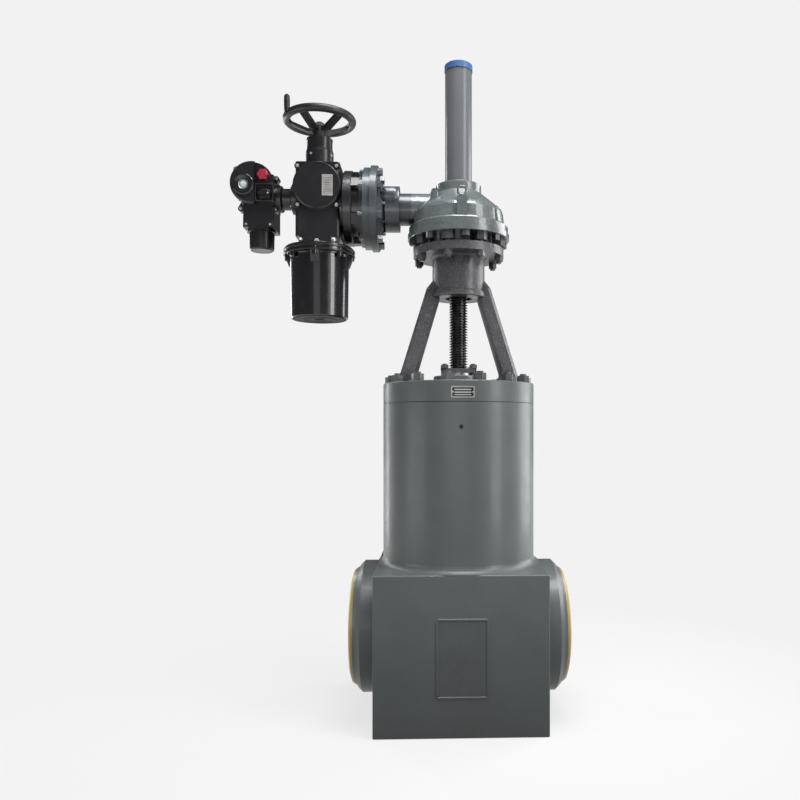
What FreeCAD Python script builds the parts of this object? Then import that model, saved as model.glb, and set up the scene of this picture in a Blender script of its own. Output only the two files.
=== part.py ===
import FreeCAD, Part

import math
import os
import re

import Sketcher

# Motor-driven forged gate valve with butt-weld ends. Millimetres, +Z up.
# The origin is the centre of the block's underside; the stem axis is Z,
# the pipe runs along X and the front of the valve looks along -Y.

SIZES = {
    # block and run
    "block_wide": 716, "block_deep": 720, "block_tall": 657, "block_round": 6,
    "run_height": 371, "run_r": 286, "run_half": 436, "run_shoulder": 18,
    "end_root_r": 262, "end_r": 246, "end_half": 470, "port_r": 170, "bevel_land": 8,
    "bevel_deep": 22,
    # neck and cover ring
    "neck_r": 336, "neck_top": 1357, "foot_over": 6, "vent_r": 8.5, "vent_drop": 101,
    "vent_deep": 30, "cover_tall": 90, "cover_round": 3, "cover_bore_r": 122,
    # gate pocket and bonnet bore
    "pocket_half": 62, "pocket_r": 204, "bonnet_r": 214,
    "fit_gap": 0.3, "run_gap": 0.1,
    # seats and wedge gate
    "seat_r": 198, "seat_bore_r": 168, "seat_deep": 44, "wedge_angle": 4,
    "gate_r": 190, "gate_half": 44, "web_r": 120, "web_gap": 16,
    "slot_wide": 96, "slot_neck": 72, "slot_deep": 34, "slot_lip": 16, "boss_rise": 62,
    # stem
    "stem_r": 41, "stem_top": 2462, "head_r": 44, "head_tall": 32, "head_neck_r": 33,
    "backseat_r": 56, "backseat_tall": 15, "lift": 360,
    # bonnet, seal, segment ring
    "head_neck": 19.7, "bonnet_tall": 150, "hub_r": 112,
    "hub_top": 1482, "box_r": 66, "box_deep": 190, "seal_tall": 48, "seal_wide": 44,
    "segment_tall": 46, "segment_out": 30, "segment_in": 36, "spacer_tall": 26,
    "segment_split": 4, "seal_gap": 0.6, "spacer_in": 60,
    # gland
    "bush_rise": 12, "bush_flange_r": 78, "bush_flange": 10, "packing_tall": 120,
    "gland_half": 78, "gland_cut": 22, "gland_thick": 20, "gland_pitch_r": 89,
    "gland_count": 4, "gland_start": 45, "gland_stud_r": 10, "gland_flats": 30,
    "gland_nut": 16, "gland_stud_in": 45,
    # cover studs
    "cover_count": 14, "cover_pitch_r": 302, "cover_start": 79.4, "cover_stud_r": 14,
    "cover_flats": 46, "cover_nut": 30, "cover_stud_in": 60,
    # yoke
    "foot_in": 176, "foot_out": 264, "foot_half": 100, "foot_cut": 40, "foot_tall": 28,
    "leg_low_in": 190, "leg_low_out": 266, "leg_deep": 112, "leg_cut": 14,
    "leg_top_z": 1872, "leg_top_in": 72, "leg_top_out": 143, "leg_top_deep": 96,
    "leg_end_z": 1908, "leg_end_out": 114,
    "yoke_hub_r": 117, "yoke_hub_low": 1831, "yoke_bore_r": 60, "yoke_flange_low": 2012,
    "yoke_flange_r": 202, "yoke_flange": 36, "yoke_round": 10,
    "foot_pitch_r": 221, "foot_angle": 21.2, "foot_bolt_r": 11, "foot_flats": 36,
    "foot_head": 20, "foot_bolt_in": 50,
    # studs between yoke and gearbox, screws of the base plate
    "stud_count": 8, "stud_pitch_r": 184, "stud_start": 74, "stud_r": 12,
    "stud_flats": 50, "stud_nut": 32, "low_flats": 34, "low_nut": 24, "stud_end": 8,
    "stud_in": 20,
    "screw_count": 8, "screw_pitch_r": 203, "screw_start": 96.5, "screw_r": 8,
    "screw_flats": 32, "screw_head": 24, "screw_in": 24,
    # gearbox
    "spigot_r": 150, "spigot_tall": 40, "plate_r": 227, "plate_tall": 24,
    "bell_flange_r": 222, "bell_flange": 30, "bell_low_r": 206, "bell_high_r": 199,
    "bell_shoulder": 2216, "bell_neck_r": 101.5, "bell_neck_low": 2298,
    "bell_top": 2336, "bell_wall": 18, "bell_step": 8,
    "rib_wide": 44, "rib_out": 214, "rib_in": 160, "rib_top": 2233, "rib_low": 2150,
    "eye_ring_r": 18, "eye_wire": 5, "eye_shank": 8, "eye_x": 8,
    "bell_round": 14,
    "plug_r": 22, "plug_flats": 30, "plug_head": 14, "plug_shank": 11, "plug_in": 12,
    "plug_pitch_r": 150, "plug_turn": 225.5, "plug_low": 2228, "plug_top": 2276,
    # gear train
    "drive_axis": 2230, "gear_module": 8, "crown_teeth": 42, "pinion_teeth": 14,
    "gear_face": 44, "backlash": 0.7, "crown_hub_r": 92, "crown_low": 2134,
    "nut_r": 68, "nut_low": 2062, "nut_shoulder": 2282, "nut_top_r": 60, "nut_flange_r": 96,
    "nut_flange": 16, "nut_flange_low": 2106, "bearing_r": 96, "bearing_tall": 18,
    "pinion_back": 24, "shaft_r": 22,
    "pinion_bearing_r": 44, "pinion_bearing": 22,
    # input housing
    "tube_start": 210, "input_r": 70, "collar_r": 100, "collar_start": 263,
    "collar_end": 325, "cone_end": 355, "cone_r": 140, "cone_start_r": 84,
    "grey_r": 187, "grey_step_r": 178, "grey_thick": 62, "grey_step": 30,
    "input_bore_r": 50, "input_bolts": 8, "input_pitch_r": 160, "input_flats": 30,
    "input_head": 19, "input_bolt_r": 9, "gusset_wide": 12,
    # actuator body
    "worm_x": 612, "worm_y": 63, "drum_r": 163,
    "drum_rim": 16, "drum_bore_r": 60, "drum_neck_r": 140, "drum_back": 40, "drum_hole": 20,
    "bridge_wide": 46, "bridge_count": 6, "box_wide": 190, "box_front": 132, "box_back": 112,
    "box_low": 2077, "box_top": 2396, "output_reach": 106, "output_r": 128, "box_round": 14,
    "barrel_r": 104, "barrel_z": 2291, "barrel_front": 140, "barrel_back": 96,
    "wheel_room": 8, "cover_plate_r": 102,
    "cover_plate": 12, "cover_plate_round": 5, "cavity_r": 52, "worm_cavity_r": 30,
    "ear_reach": 118, "ear_r": 13, "ear_long": 40,
    # hand drive
    "column_low_r": 61, "column_r": 56, "column_step": 2460, "column_top": 2515,
    "wheel_z": 2598, "wheel_r": 142, "rim_r": 17, "hub_low": 2518, "wheel_hub_r": 34,
    "wheel_hub_top": 2572, "spoke_count": 5, "spoke_wide": 34, "spoke_thick": 13,
    "hand_shaft_r": 15, "hub_nut_flats": 36, "hub_nut": 16, "grip_r": 13,
    "grip_long": 72, "grip_gap": 0.3, "spoke_drop": 10, "grip_pin_r": 5, "grip_turn": 201,
    "spoke_turn": 246, "worm_r": 17.6,
    "worm_long": 90, "worm_shaft_low": 2122, "worm_end": 14, "worm_bearing": 16,
    "wheel_pitch_r": 44.8, "worm_wheel_wide": 44,
    "sleeve_r": 30, "sleeve_long": 150, "key_gap": 0.05,
    # motor
    "adapter_half": 80, "adapter_cut": 22, "adapter_low": 2036, "rotor_low": 1784,
    "can_floor": 14, "lug_drop": 18, "ring_r": 148,
    "ring_low": 2000, "ring_step_r": 141, "can_r": 128, "can_low_r": 124, "can_low": 1727,
    "can_wall": 8, "can_dish": 6, "lug_count": 8, "lug_r": 11, "stator_in_r": 70,
    "stator_tall": 190, "rotor_r": 69.2, "rotor_tall": 186, "rotor_shaft_r": 12,
    # local controls
    "neck_end": 800, "neck_pad": 6, "neck_high": 2270, "control_neck_r": 58, "waist_r": 47,
    "neck_ring_r": 66,
    "neck_ring": 16, "head_x": 903, "head_z": 2317, "control_r": 93,
    "control_front": 96, "control_back": 104, "control_round": 8, "recess_deep": 22, "recess_x": 14,
    "panel_wide": 88, "panel_tall": 134, "panel_drop": 94, "window_deep": 14,
    "window_x": 34, "window_z": 10, "window_ring_r": 46, "window_ring": 8,
    "window_r": 22, "glass_thick": 5, "dial_r": 20, "dial_thick": 3,
    "red_x": 50, "red_z": 34, "red_r": 27, "red_long": 24, "black_x": 56, "black_z": -48,
    "black_r": 28, "black_long": 22, "knob_stem_r": 6, "knob_stem": 24, "knob_gap": 0.4,
    "knob_bar": 12,
    "term_x": 878, "term_wide": 134, "term_front": 70, "term_back": 82, "term_low": 2129,
    "term_in": 40, "term_mid": 4, "entry_z": 2180,
    "term_cover_r": 58, "term_cover_low_r": 54, "term_cover_low": 2040, "entry_r": 12.5,
    "entry_deep": 26, "entry_boss_r": 20, "entry_boss": 10,
    # stem tube
    "tube_r": 60, "tube_wall": 5, "tube_top": 2862, "cap_r": 63, "cap_rise": 18,
    "cap_over": 12, "tube_ring_r": 70, "tube_ring": 6,
}

doc = FreeCAD.newDocument("gate_valve")
sheet = doc.addObject("Spreadsheet::Sheet", "Sizes")
for row, (alias, number) in enumerate(SIZES.items(), start=1):
    sheet.set(f"A{row}", alias)
    sheet.set(f"B{row}", str(number))
    sheet.setAlias(f"B{row}", alias)
doc.recompute()

NODES = []
WORD = re.compile(r"[a-z_][a-z0-9_]*")
TURNS = {
    "Z": FreeCAD.Rotation(),
    "X": FreeCAD.Rotation(FreeCAD.Vector(0, 1, 0), 90),
    "-X": FreeCAD.Rotation(FreeCAD.Vector(0, 1, 0), -90),
    "Y": FreeCAD.Rotation(FreeCAD.Vector(1, 0, 0), -90),
    "-Y": FreeCAD.Rotation(FreeCAD.Vector(1, 0, 0), 90),
    "-Z": FreeCAD.Rotation(FreeCAD.Vector(1, 0, 0), 180),
}


def linked(expression):
    """Return the expression with every size name pointing into the sheet."""
    text = str(expression)
    return WORD.sub(lambda m: f"Sizes.{m.group()}" if m.group() in SIZES else m.group(), text)


def value(expression):
    """Return the present number of an expression of size names."""
    result = sheet.evalExpression(str(expression))
    return float(getattr(result, "Value", result))


def bind(thing, **properties):
    """Bind properties of an object to expressions of size names."""
    for name, expression in properties.items():
        thing.setExpression(name, linked(expression))
    return thing


def place(thing, at=("0", "0", "0"), axis="Z"):
    """Turn an object so that its own +Z lies on an axis and bind its place to the sheet."""
    thing.Placement = FreeCAD.Placement(FreeCAD.Vector(), TURNS[axis])
    for letter, expression in zip("xyz", at):
        thing.setExpression(f"Placement.Base.{letter}", linked(expression))
    return thing


def named(thing, label, keep=True):
    """Give an object its label and list it as a finished piece."""
    thing.Label = label
    if keep:
        NODES.append(thing)
    return thing


def origin_plane(body, role):
    """Return one of a body's own origin planes or axes."""
    return next(item for item in body.Origin.OriginFeatures if item.Role == role)


def new_body(label, at, axis, keep):
    """Start a body with its label and bound place."""
    body = doc.addObject("PartDesign::Body", label)
    named(body, label, keep)
    place(body, at, axis)
    return body


def new_sketch(body, name, role="XY_Plane", level="0"):
    """Start a sketch on one of the body's origin planes, lifted along the plane's normal."""
    sketch = body.newObject("Sketcher::SketchObject", name)
    sketch.AttachmentSupport = [(origin_plane(body, role), "")]
    sketch.MapMode = "FlatFace"
    sketch.setExpression("AttachmentOffset.Base.z", linked(level))
    return sketch


def pin_point(sketch, geometry, vertex, spot):
    """Bind a sketch point's two distances from the sketch's origin."""
    for kind, expression in zip(("DistanceX", "DistanceY"), spot):
        index = sketch.addConstraint(
            Sketcher.Constraint(kind, -1, 1, geometry, vertex, value(expression)))
        sketch.setExpression(f"Constraints[{index}]", linked(expression))


def draw_outline(sketch, spots):
    """Draw a closed outline of straight edges whose corners follow the sheet."""
    corners = [FreeCAD.Vector(value(a), value(b), 0) for a, b in spots]
    first = sketch.GeometryCount
    count = len(corners)
    for i in range(count):
        sketch.addGeometry(Part.LineSegment(corners[i], corners[(i + 1) % count]), False)
    for i in range(count):
        sketch.addConstraint(
            Sketcher.Constraint("Coincident", first + i, 2, first + (i + 1) % count, 1))
    for i, spot in enumerate(spots):
        pin_point(sketch, first + i, 1, spot)


def draw_circle(sketch, spot, radius):
    """Draw a circle whose centre and radius follow the sheet."""
    centre = FreeCAD.Vector(value(spot[0]), value(spot[1]), 0)
    index = sketch.addGeometry(
        Part.Circle(centre, FreeCAD.Vector(0, 0, 1), value(radius)), False)
    limit = sketch.addConstraint(Sketcher.Constraint("Radius", index, value(radius)))
    sketch.setExpression(f"Constraints[{limit}]", linked(radius))
    pin_point(sketch, index, 3, spot)


def turned(label, profile, at=("0", "0", "0"), axis="Z", keep=True):
    """Revolve a closed (radius, height) profile about the body's own Z."""
    body = new_body(label, at, axis, keep)
    sketch = new_sketch(body, f"{label}_profile", "XZ_Plane")
    draw_outline(sketch, profile)
    spin = body.newObject("PartDesign::Revolution", f"{label}_turn")
    spin.Profile = sketch
    spin.ReferenceAxis = (sketch, ["V_Axis"])
    spin.Angle = 360
    return body


def block(label, spots, tall, at=("0", "0", "0"), axis="Z", keep=True):
    """Pad a straight-edged outline upwards from the body's own XY plane."""
    body = new_body(label, at, axis, keep)
    sketch = new_sketch(body, f"{label}_outline")
    draw_outline(sketch, spots)
    pad(body, sketch, tall)
    return body


def pad(body, sketch, tall, down=False):
    """Add material above a sketch, or below it."""
    feature = body.newObject("PartDesign::Pad", f"{sketch.Name}_pad")
    feature.Profile = sketch
    feature.Reversed = down
    bind(feature, Length=tall)
    return feature


def ring_of(body, features, count, name):
    """Repeat features evenly about the body's own Z."""
    pattern = body.newObject("PartDesign::PolarPattern", name)
    pattern.Originals = features
    pattern.Axis = (origin_plane(body, "Z_Axis"), [""])
    pattern.Angle = 360
    bind(pattern, Occurrences=count)
    body.Tip = pattern
    return pattern


def hexagon(pitch_r, start, flats):
    """Return the corners of a hexagon whose centre lies on a pitch circle."""
    corner = f"{flats}/sqrt(3)"
    return [(f"{pitch_r}*cos({start}) + {corner}*cos({start} + {60 * i})",
             f"{pitch_r}*sin({start}) + {corner}*sin({start} + {60 * i})")
            for i in range(6)]


def fasteners(label, pitch_r, starts, count, flats, head, radius, below, above="0",
              at=("0", "0", "0"), axis="Z"):
    """Make rings of hexagon heads that stand on z=0 with a shank below and a tip above."""
    body = new_body(label, at, axis, True)
    parts = []
    for index, start in enumerate(starts):
        heads = new_sketch(body, f"{label}_hex{index}")
        draw_outline(heads, hexagon(pitch_r, start, flats))
        parts.append(pad(body, heads, head))
        shanks = new_sketch(body, f"{label}_rod{index}", level=f"{head} + {above}")
        draw_circle(shanks, (f"{pitch_r}*cos({start})", f"{pitch_r}*sin({start})"), radius)
        parts.append(pad(body, shanks, f"{below} + {head} + {above}", down=True))
    ring_of(body, parts, count, f"{label}_ring")
    return body


def hole_tool(label, pitch_r, starts, count, radius, deep, at, axis="Z"):
    """Make rings of plain rods below z=0 that drill holes when subtracted."""
    body = new_body(label, at, axis, False)
    parts = []
    for index, start in enumerate(starts):
        sketch = new_sketch(body, f"{label}_rod{index}")
        draw_circle(sketch, (f"{pitch_r}*cos({start})", f"{pitch_r}*sin({start})"), radius)
        parts.append(pad(body, sketch, deep, down=True))
    ring_of(body, parts, count, f"{label}_ring")
    return body


def soften(body, radius, wanted):
    """Round the edges of a body's tip that a test picks."""
    doc.recompute()
    tip = body.Tip
    names = [f"Edge{i + 1}" for i, edge in enumerate(tip.Shape.Edges) if wanted(edge)]
    rounding = body.newObject("PartDesign::Fillet", f"{body.Name}_round")
    rounding.Base = (tip, names)
    bind(rounding, Radius=radius)
    body.Tip = rounding
    return rounding


def circle_at(radius, height):
    """Return a test for a full circular edge of a radius at a height."""
    def test(edge):
        curve = edge.Curve
        return (isinstance(curve, Part.Circle)
                and abs(curve.Radius - value(radius)) < 0.01
                and abs(edge.BoundBox.ZMin - value(height)) < 0.01
                and abs(edge.BoundBox.ZMax - value(height)) < 0.01)
    return test


def box(label, size, at, keep=False):
    """Make a box from its corner, bound to the sheet."""
    thing = doc.addObject("Part::Box", label)
    bind(thing, Length=size[0], Width=size[1], Height=size[2])
    return named(place(thing, at), label, keep)


def rod(label, radius, tall, at, axis="Z", keep=False):
    """Make a cylinder from its base centre, bound to the sheet."""
    thing = doc.addObject("Part::Cylinder", label)
    bind(thing, Radius=radius, Height=tall)
    return named(place(thing, at, axis), label, keep)


def fused(label, parts, keep=False, refine=True):
    """Join objects into one solid."""
    thing = doc.addObject("Part::MultiFuse", label)
    thing.Shapes = parts
    thing.Refine = refine
    return named(thing, label, keep)


def minus(label, base, tool, keep=False):
    """Subtract one object from another."""
    thing = doc.addObject("Part::Cut", label)
    thing.Base = base
    thing.Tool = tool
    thing.Refine = True
    return named(thing, label, keep)


def shared(label, base, tool, keep=False):
    """Keep what two objects share."""
    thing = doc.addObject("Part::Common", label)
    thing.Base = base
    thing.Tool = tool
    return named(thing, label, keep)


# ---------------------------------------------------------------- levels inside the body
boss_top = "(run_height + gate_r + boss_rise)"
head_low = f"({boss_top} - slot_lip - slot_deep + fit_gap)"
collar_top = f"({head_low} + head_tall + head_neck + backseat_tall)"
bonnet_low = f"({collar_top} + lift)"
shoulder = f"({bonnet_low} + bonnet_tall)"
segment_base = f"({shoulder} + seal_tall + spacer_tall)"

# ---------------------------------------------------------------- valve body
forging = block("body_block", [
    ("-block_wide/2", "-block_deep/2"), ("block_wide/2", "-block_deep/2"),
    ("block_wide/2", "block_deep/2"), ("-block_wide/2", "block_deep/2")],
    "block_tall", keep=False)
soften(forging, "block_round", lambda edge: True)
for side, axis in (("left", "-X"), ("right", "X")):
    turned(f"weld_end_{side}", [
        ("port_r", "block_wide/2"), ("run_r", "block_wide/2"), ("run_r", "run_half - run_shoulder"),
        ("run_r - run_shoulder", "run_half"), ("end_root_r", "run_half"),
        ("end_r", "end_half - bevel_land"), ("end_r - bevel_deep", "end_half"),
        ("port_r", "end_half")], at=("0", "0", "run_height"), axis=axis)
foot_round = "(max(block_wide; block_deep)/2 + foot_over - neck_r)"
neck = turned("neck_blank", [
    ("0", f"block_tall - {foot_round} - 20"),
    (f"neck_r + {foot_round} + 2", f"block_tall - {foot_round} - 20"),
    (f"neck_r + {foot_round} + 2", "block_tall"), ("neck_r", "block_tall"),
    ("neck_r", "neck_top"), ("0", "neck_top")], keep=False)
soften(neck, foot_round, circle_at("neck_r", "block_tall"))
tower = box("neck_bounds", ("block_wide", "block_deep", "neck_top"),
            ("-block_wide/2", "-block_deep/2", "block_tall"))
bonnet_bore = turned("bonnet_bore", [
    ("0", bonnet_low), ("bonnet_r", bonnet_low), ("bonnet_r", f"{segment_base} - fit_gap"),
    ("bonnet_r + segment_out", f"{segment_base} - fit_gap"),
    ("bonnet_r + segment_out", f"{segment_base} + segment_tall + fit_gap"),
    ("bonnet_r", f"{segment_base} + segment_tall + fit_gap"), ("bonnet_r", "neck_top + 1"),
    ("0", "neck_top + 1")], keep=False)
port = rod("body_port", "port_r", "block_wide + 2", ("-block_wide/2 - 1", "0", "run_height"), "X")
pocket_round = rod("pocket_round", "pocket_r", "2*pocket_half",
                   ("-pocket_half", "0", "run_height"), "X")
pocket_slot = box("pocket_slot",
                  ("2*pocket_half", "2*pocket_r", f"{bonnet_low} - run_height + 1"),
                  ("-pocket_half", "-pocket_r", "run_height"))
seat_bores = rod("seat_bores", "seat_r + fit_gap", "2*(pocket_half + seat_deep)",
                 ("-pocket_half - seat_deep", "0", "run_height"), "X")
vent = rod("vent_hole", "vent_r", "vent_deep", ("0", "-neck_r - 1", "neck_top - vent_drop"), "Y")
stud_holes = hole_tool("body_stud_holes", "cover_pitch_r", ["cover_start"], "cover_count",
                       "cover_stud_r + fit_gap", "cover_stud_in + 2", ("0", "0", "neck_top"))
minus("valve_body", forging,
      fused("body_cavity", [port, pocket_round, pocket_slot, seat_bores]), keep=True)
minus("body_neck", shared("neck_trimmed", neck, tower),
      fused("neck_cavity", [bonnet_bore, pocket_slot, vent, stud_holes]), keep=True)

# ---------------------------------------------------------------- seats and wedge gate
rise = "tan(wedge_angle)"


def wedge(label, gap, low, high):
    """Make the wedge between the two inclined seat faces, widened by a gap."""
    return block(label, [
        (f"-gate_half - {gap} + {low}*{rise}", f"-{low}"),
        (f"gate_half + {gap} - {low}*{rise}", f"-{low}"),
        (f"gate_half + {gap} + {high}*{rise}", f"{high}"),
        (f"-gate_half - {gap} - {high}*{rise}", f"{high}")],
        "2*seat_r + 2", at=("0", "seat_r + 1", "run_height"), axis="-Y", keep=False)


for side, start, axis in (("left", "-pocket_half - seat_deep", "X"),
                          ("right", "pocket_half + seat_deep", "-X")):
    tube = turned(f"seat_{side}_blank", [
        ("seat_bore_r", "0"), ("seat_r", "0"), ("seat_r", "pocket_half + seat_deep - 1"),
        ("seat_bore_r", "pocket_half + seat_deep - 1")],
        at=(start, "0", "run_height"), axis=axis, keep=False)
    minus(f"seat_ring_{side}", tube,
          wedge(f"seat_{side}_plane", "fit_gap", "(seat_r + 1)", "(seat_r + 1)"), keep=True)
gate_disc = rod("gate_disc", "gate_r", "2*pocket_half", ("-pocket_half", "0", "run_height"), "X")
gate_plate = shared("gate_plate", wedge("gate_wedge", "0", "gate_r", "gate_r"), gate_disc)
boss = box("gate_boss", ("2*gate_half", "slot_wide + 48", "boss_rise + 30"),
           ("-gate_half", "-slot_wide/2 - 24", "run_height + gate_r - 30"))
head_slot = box("gate_head_slot", ("2*pocket_half", "slot_wide", "slot_deep"),
                ("-pocket_half", "-slot_wide/2", f"{boss_top} - slot_lip - slot_deep"))
neck_slot = box("gate_neck_slot", ("2*pocket_half", "slot_neck", "slot_lip + 1"),
                ("-pocket_half", "-slot_neck/2", f"{boss_top} - slot_lip"))
web_groove = turned("gate_web_groove", [
    ("web_r", "-web_gap/2"), ("gate_r + 1", "-web_gap/2"), ("gate_r + 1", "web_gap/2"),
    ("web_r", "web_gap/2")], at=("0", "0", "run_height"), axis="X", keep=False)
minus("gate", fused("gate_blank", [gate_plate, boss]),
      fused("gate_cuts", [head_slot, neck_slot, web_groove]), keep=True)

# ---------------------------------------------------------------- stem
turned("stem", [
    ("0", head_low), ("head_r", head_low), ("head_r", f"{head_low} + head_tall"),
    ("head_neck_r", f"{head_low} + head_tall"),
    ("head_neck_r", f"{collar_top} - backseat_tall"),
    ("backseat_r", f"{collar_top} - backseat_tall"), ("backseat_r", f"{collar_top}"),
    ("stem_r", f"{collar_top}"), ("stem_r", "stem_top - 6"), ("stem_r - 6", "stem_top"),
    ("0", "stem_top")])

# ---------------------------------------------------------------- bonnet and pressure seal
slim = "(bonnet_r - fit_gap)"
bonnet_blank = turned("bonnet_blank", [
    ("stem_r + run_gap", f"{bonnet_low} + fit_gap"), (slim, f"{bonnet_low} + fit_gap"),
    (slim, shoulder), (f"{slim} - seal_wide", f"{shoulder} + seal_tall"),
    ("hub_r", f"{shoulder} + seal_tall"), ("hub_r", "hub_top - 4"), ("hub_r - 4", "hub_top"),
    ("box_r", "hub_top"), ("box_r", "hub_top - box_deep"),
    ("stem_r + run_gap", "hub_top - box_deep")], keep=False)
gland_holes = hole_tool("bonnet_gland_holes", "gland_pitch_r", ["gland_start"], "gland_count",
                        "gland_stud_r + fit_gap", "gland_stud_in + 2", ("0", "0", "hub_top"))
minus("bonnet", bonnet_blank, gland_holes, keep=True)
turned("pressure_seal_ring", [
    (slim, f"{shoulder} + seal_gap"), (slim, f"{shoulder} + seal_tall"),
    (f"{slim} - seal_wide*(1 - seal_gap/seal_tall)", f"{shoulder} + seal_tall")])
turned("spacer_ring", [
    ("bonnet_r - spacer_in", f"{shoulder} + seal_tall"), (slim, f"{shoulder} + seal_tall"),
    (slim, segment_base), ("bonnet_r - spacer_in", segment_base)])
segment_blank = turned("segment_blank", [
    ("bonnet_r - segment_in", segment_base),
    ("bonnet_r + segment_out - fit_gap", segment_base),
    ("bonnet_r + segment_out - fit_gap", f"{segment_base} + segment_tall"),
    ("bonnet_r - segment_in", f"{segment_base} + segment_tall")], keep=False)
split_x = box("segment_split_x", ("2*neck_r", "segment_split", "segment_tall + 2"),
              ("-neck_r", "-segment_split/2", f"{segment_base} - 1"))
split_y = box("segment_split_y", ("segment_split", "2*neck_r", "segment_tall + 2"),
              ("-segment_split/2", "-neck_r", f"{segment_base} - 1"))
minus("segment_ring", segment_blank, fused("segment_splits", [split_x, split_y]), keep=True)

# ---------------------------------------------------------------- cover ring and its studs
cover_top = "(neck_top + cover_tall)"
cover_blank = turned("cover_blank", [
    ("cover_bore_r", "neck_top"), ("neck_r - cover_round", "neck_top"),
    ("neck_r", "neck_top + cover_round"), ("neck_r", f"{cover_top} - cover_round"),
    ("neck_r - cover_round", cover_top), ("cover_bore_r", cover_top)], keep=False)
cover_holes = hole_tool("cover_stud_holes", "cover_pitch_r", ["cover_start"], "cover_count",
                        "cover_stud_r + fit_gap", "cover_tall + 2",
                        ("0", "0", f"{cover_top} + 1"))
foot_starts = ["foot_angle", "-foot_angle"]
foot_holes = hole_tool("cover_foot_holes", "foot_pitch_r", foot_starts, "2",
                       "foot_bolt_r + fit_gap", "foot_bolt_in + 2", ("0", "0", cover_top))
minus("cover_ring", cover_blank, fused("cover_hole_tools", [cover_holes, foot_holes]), keep=True)
fasteners("cover_studs", "cover_pitch_r", ["cover_start"], "cover_count", "cover_flats",
          "cover_nut", "cover_stud_r", "cover_tall + cover_stud_in", "8",
          at=("0", "0", cover_top))

# ---------------------------------------------------------------- packing and gland
packing_top = "(hub_top - box_deep + packing_tall)"
turned("packing_set", [
    ("stem_r + run_gap", "hub_top - box_deep"), ("box_r - run_gap", "hub_top - box_deep"),
    ("box_r - run_gap", packing_top), ("stem_r + run_gap", packing_top)])
turned("gland_bush", [
    ("stem_r + run_gap", packing_top), ("box_r - fit_gap", packing_top),
    ("box_r - fit_gap", "hub_top + bush_rise - bush_flange"),
    ("bush_flange_r", "hub_top + bush_rise - bush_flange"),
    ("bush_flange_r", "hub_top + bush_rise"), ("stem_r + run_gap", "hub_top + bush_rise")])
gland_low = "(hub_top + bush_rise)"
gland_blank = block("gland_blank", [
    ("gland_half", "-gland_half + gland_cut"), ("gland_half", "gland_half - gland_cut"),
    ("gland_half - gland_cut", "gland_half"), ("-gland_half + gland_cut", "gland_half"),
    ("-gland_half", "gland_half - gland_cut"), ("-gland_half", "-gland_half + gland_cut"),
    ("-gland_half + gland_cut", "-gland_half"), ("gland_half - gland_cut", "-gland_half")],
    "gland_thick", at=("0", "0", gland_low), keep=False)
gland_cuts = [
    rod("gland_bore", "stem_r + 2", "gland_thick + 2", ("0", "0", f"{gland_low} - 1")),
    hole_tool("gland_stud_holes", "gland_pitch_r", ["gland_start"], "gland_count",
              "gland_stud_r + fit_gap", "gland_thick + 2",
              ("0", "0", f"{gland_low} + gland_thick + 1"))]
minus("gland_flange", gland_blank, fused("gland_cut_tools", gland_cuts), keep=True)
fasteners("gland_studs", "gland_pitch_r", ["gland_start"], "gland_count", "gland_flats",
          "gland_nut", "gland_stud_r", "gland_thick + bush_rise + gland_stud_in", "4",
          at=("0", "0", f"{gland_low} + gland_thick"))

# ---------------------------------------------------------------- yoke
flange_top = "(yoke_flange_low + yoke_flange)"
yoke = turned("yoke_casting", [
    ("yoke_bore_r", "yoke_hub_low"), ("yoke_hub_r", "yoke_hub_low"),
    ("yoke_hub_r", "yoke_flange_low - yoke_round"),
    ("yoke_hub_r + yoke_round", "yoke_flange_low"), ("yoke_flange_r", "yoke_flange_low"),
    ("yoke_flange_r", flange_top), ("yoke_bore_r", flange_top)], keep=False)


def leg_section(name, level, inner, outer, deep):
    """Draw one octagonal section across a yoke leg."""
    sketch = new_sketch(yoke, name, level=level)
    draw_outline(sketch, [
        (inner, f"-{deep}/2 + leg_cut"), (f"{inner} + leg_cut", f"-{deep}/2"),
        (f"{outer} - leg_cut", f"-{deep}/2"), (outer, f"-{deep}/2 + leg_cut"),
        (outer, f"{deep}/2 - leg_cut"), (f"{outer} - leg_cut", f"{deep}/2"),
        (f"{inner} + leg_cut", f"{deep}/2"), (inner, f"{deep}/2 - leg_cut")])
    return sketch


def mirrored(body, features, name):
    """Repeat features on the other side of the body's YZ plane."""
    copy = body.newObject("PartDesign::Mirrored", name)
    copy.Originals = features
    copy.MirrorPlane = (origin_plane(body, "YZ_Plane"), [""])
    body.Tip = copy
    return copy


leg = yoke.newObject("PartDesign::AdditiveLoft", "yoke_leg")
leg.Profile = leg_section("leg_foot", f"{cover_top} + foot_tall - 2", "leg_low_in",
                          "leg_low_out", "leg_deep")
leg.Sections = [leg_section("leg_shoulder", "leg_top_z", "leg_top_in", "leg_top_out",
                            "leg_top_deep"),
                leg_section("leg_end", "leg_end_z", "leg_top_in", "leg_end_out",
                            "leg_top_deep")]
leg.Ruled = True
mirrored(yoke, [leg], "yoke_legs")
foot_sketch = new_sketch(yoke, "yoke_foot", level=cover_top)
draw_outline(foot_sketch, [
    ("foot_in", "-foot_half"), ("foot_out - foot_cut", "-foot_half"),
    ("foot_out", "-foot_half + foot_cut"), ("foot_out", "foot_half - foot_cut"),
    ("foot_out - foot_cut", "foot_half"), ("foot_in", "foot_half")])
mirrored(yoke, [pad(yoke, foot_sketch, "foot_tall")], "yoke_feet")
yoke_cuts = [
    hole_tool("yoke_stud_holes", "stud_pitch_r", ["stud_start"], "stud_count",
              "stud_r + fit_gap", "yoke_flange + 2", ("0", "0", f"{flange_top} + 1")),
    hole_tool("yoke_foot_holes", "foot_pitch_r", foot_starts, "2", "foot_bolt_r + fit_gap",
              "foot_tall + 2", ("0", "0", f"{cover_top} + foot_tall + 1"))]
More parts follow.
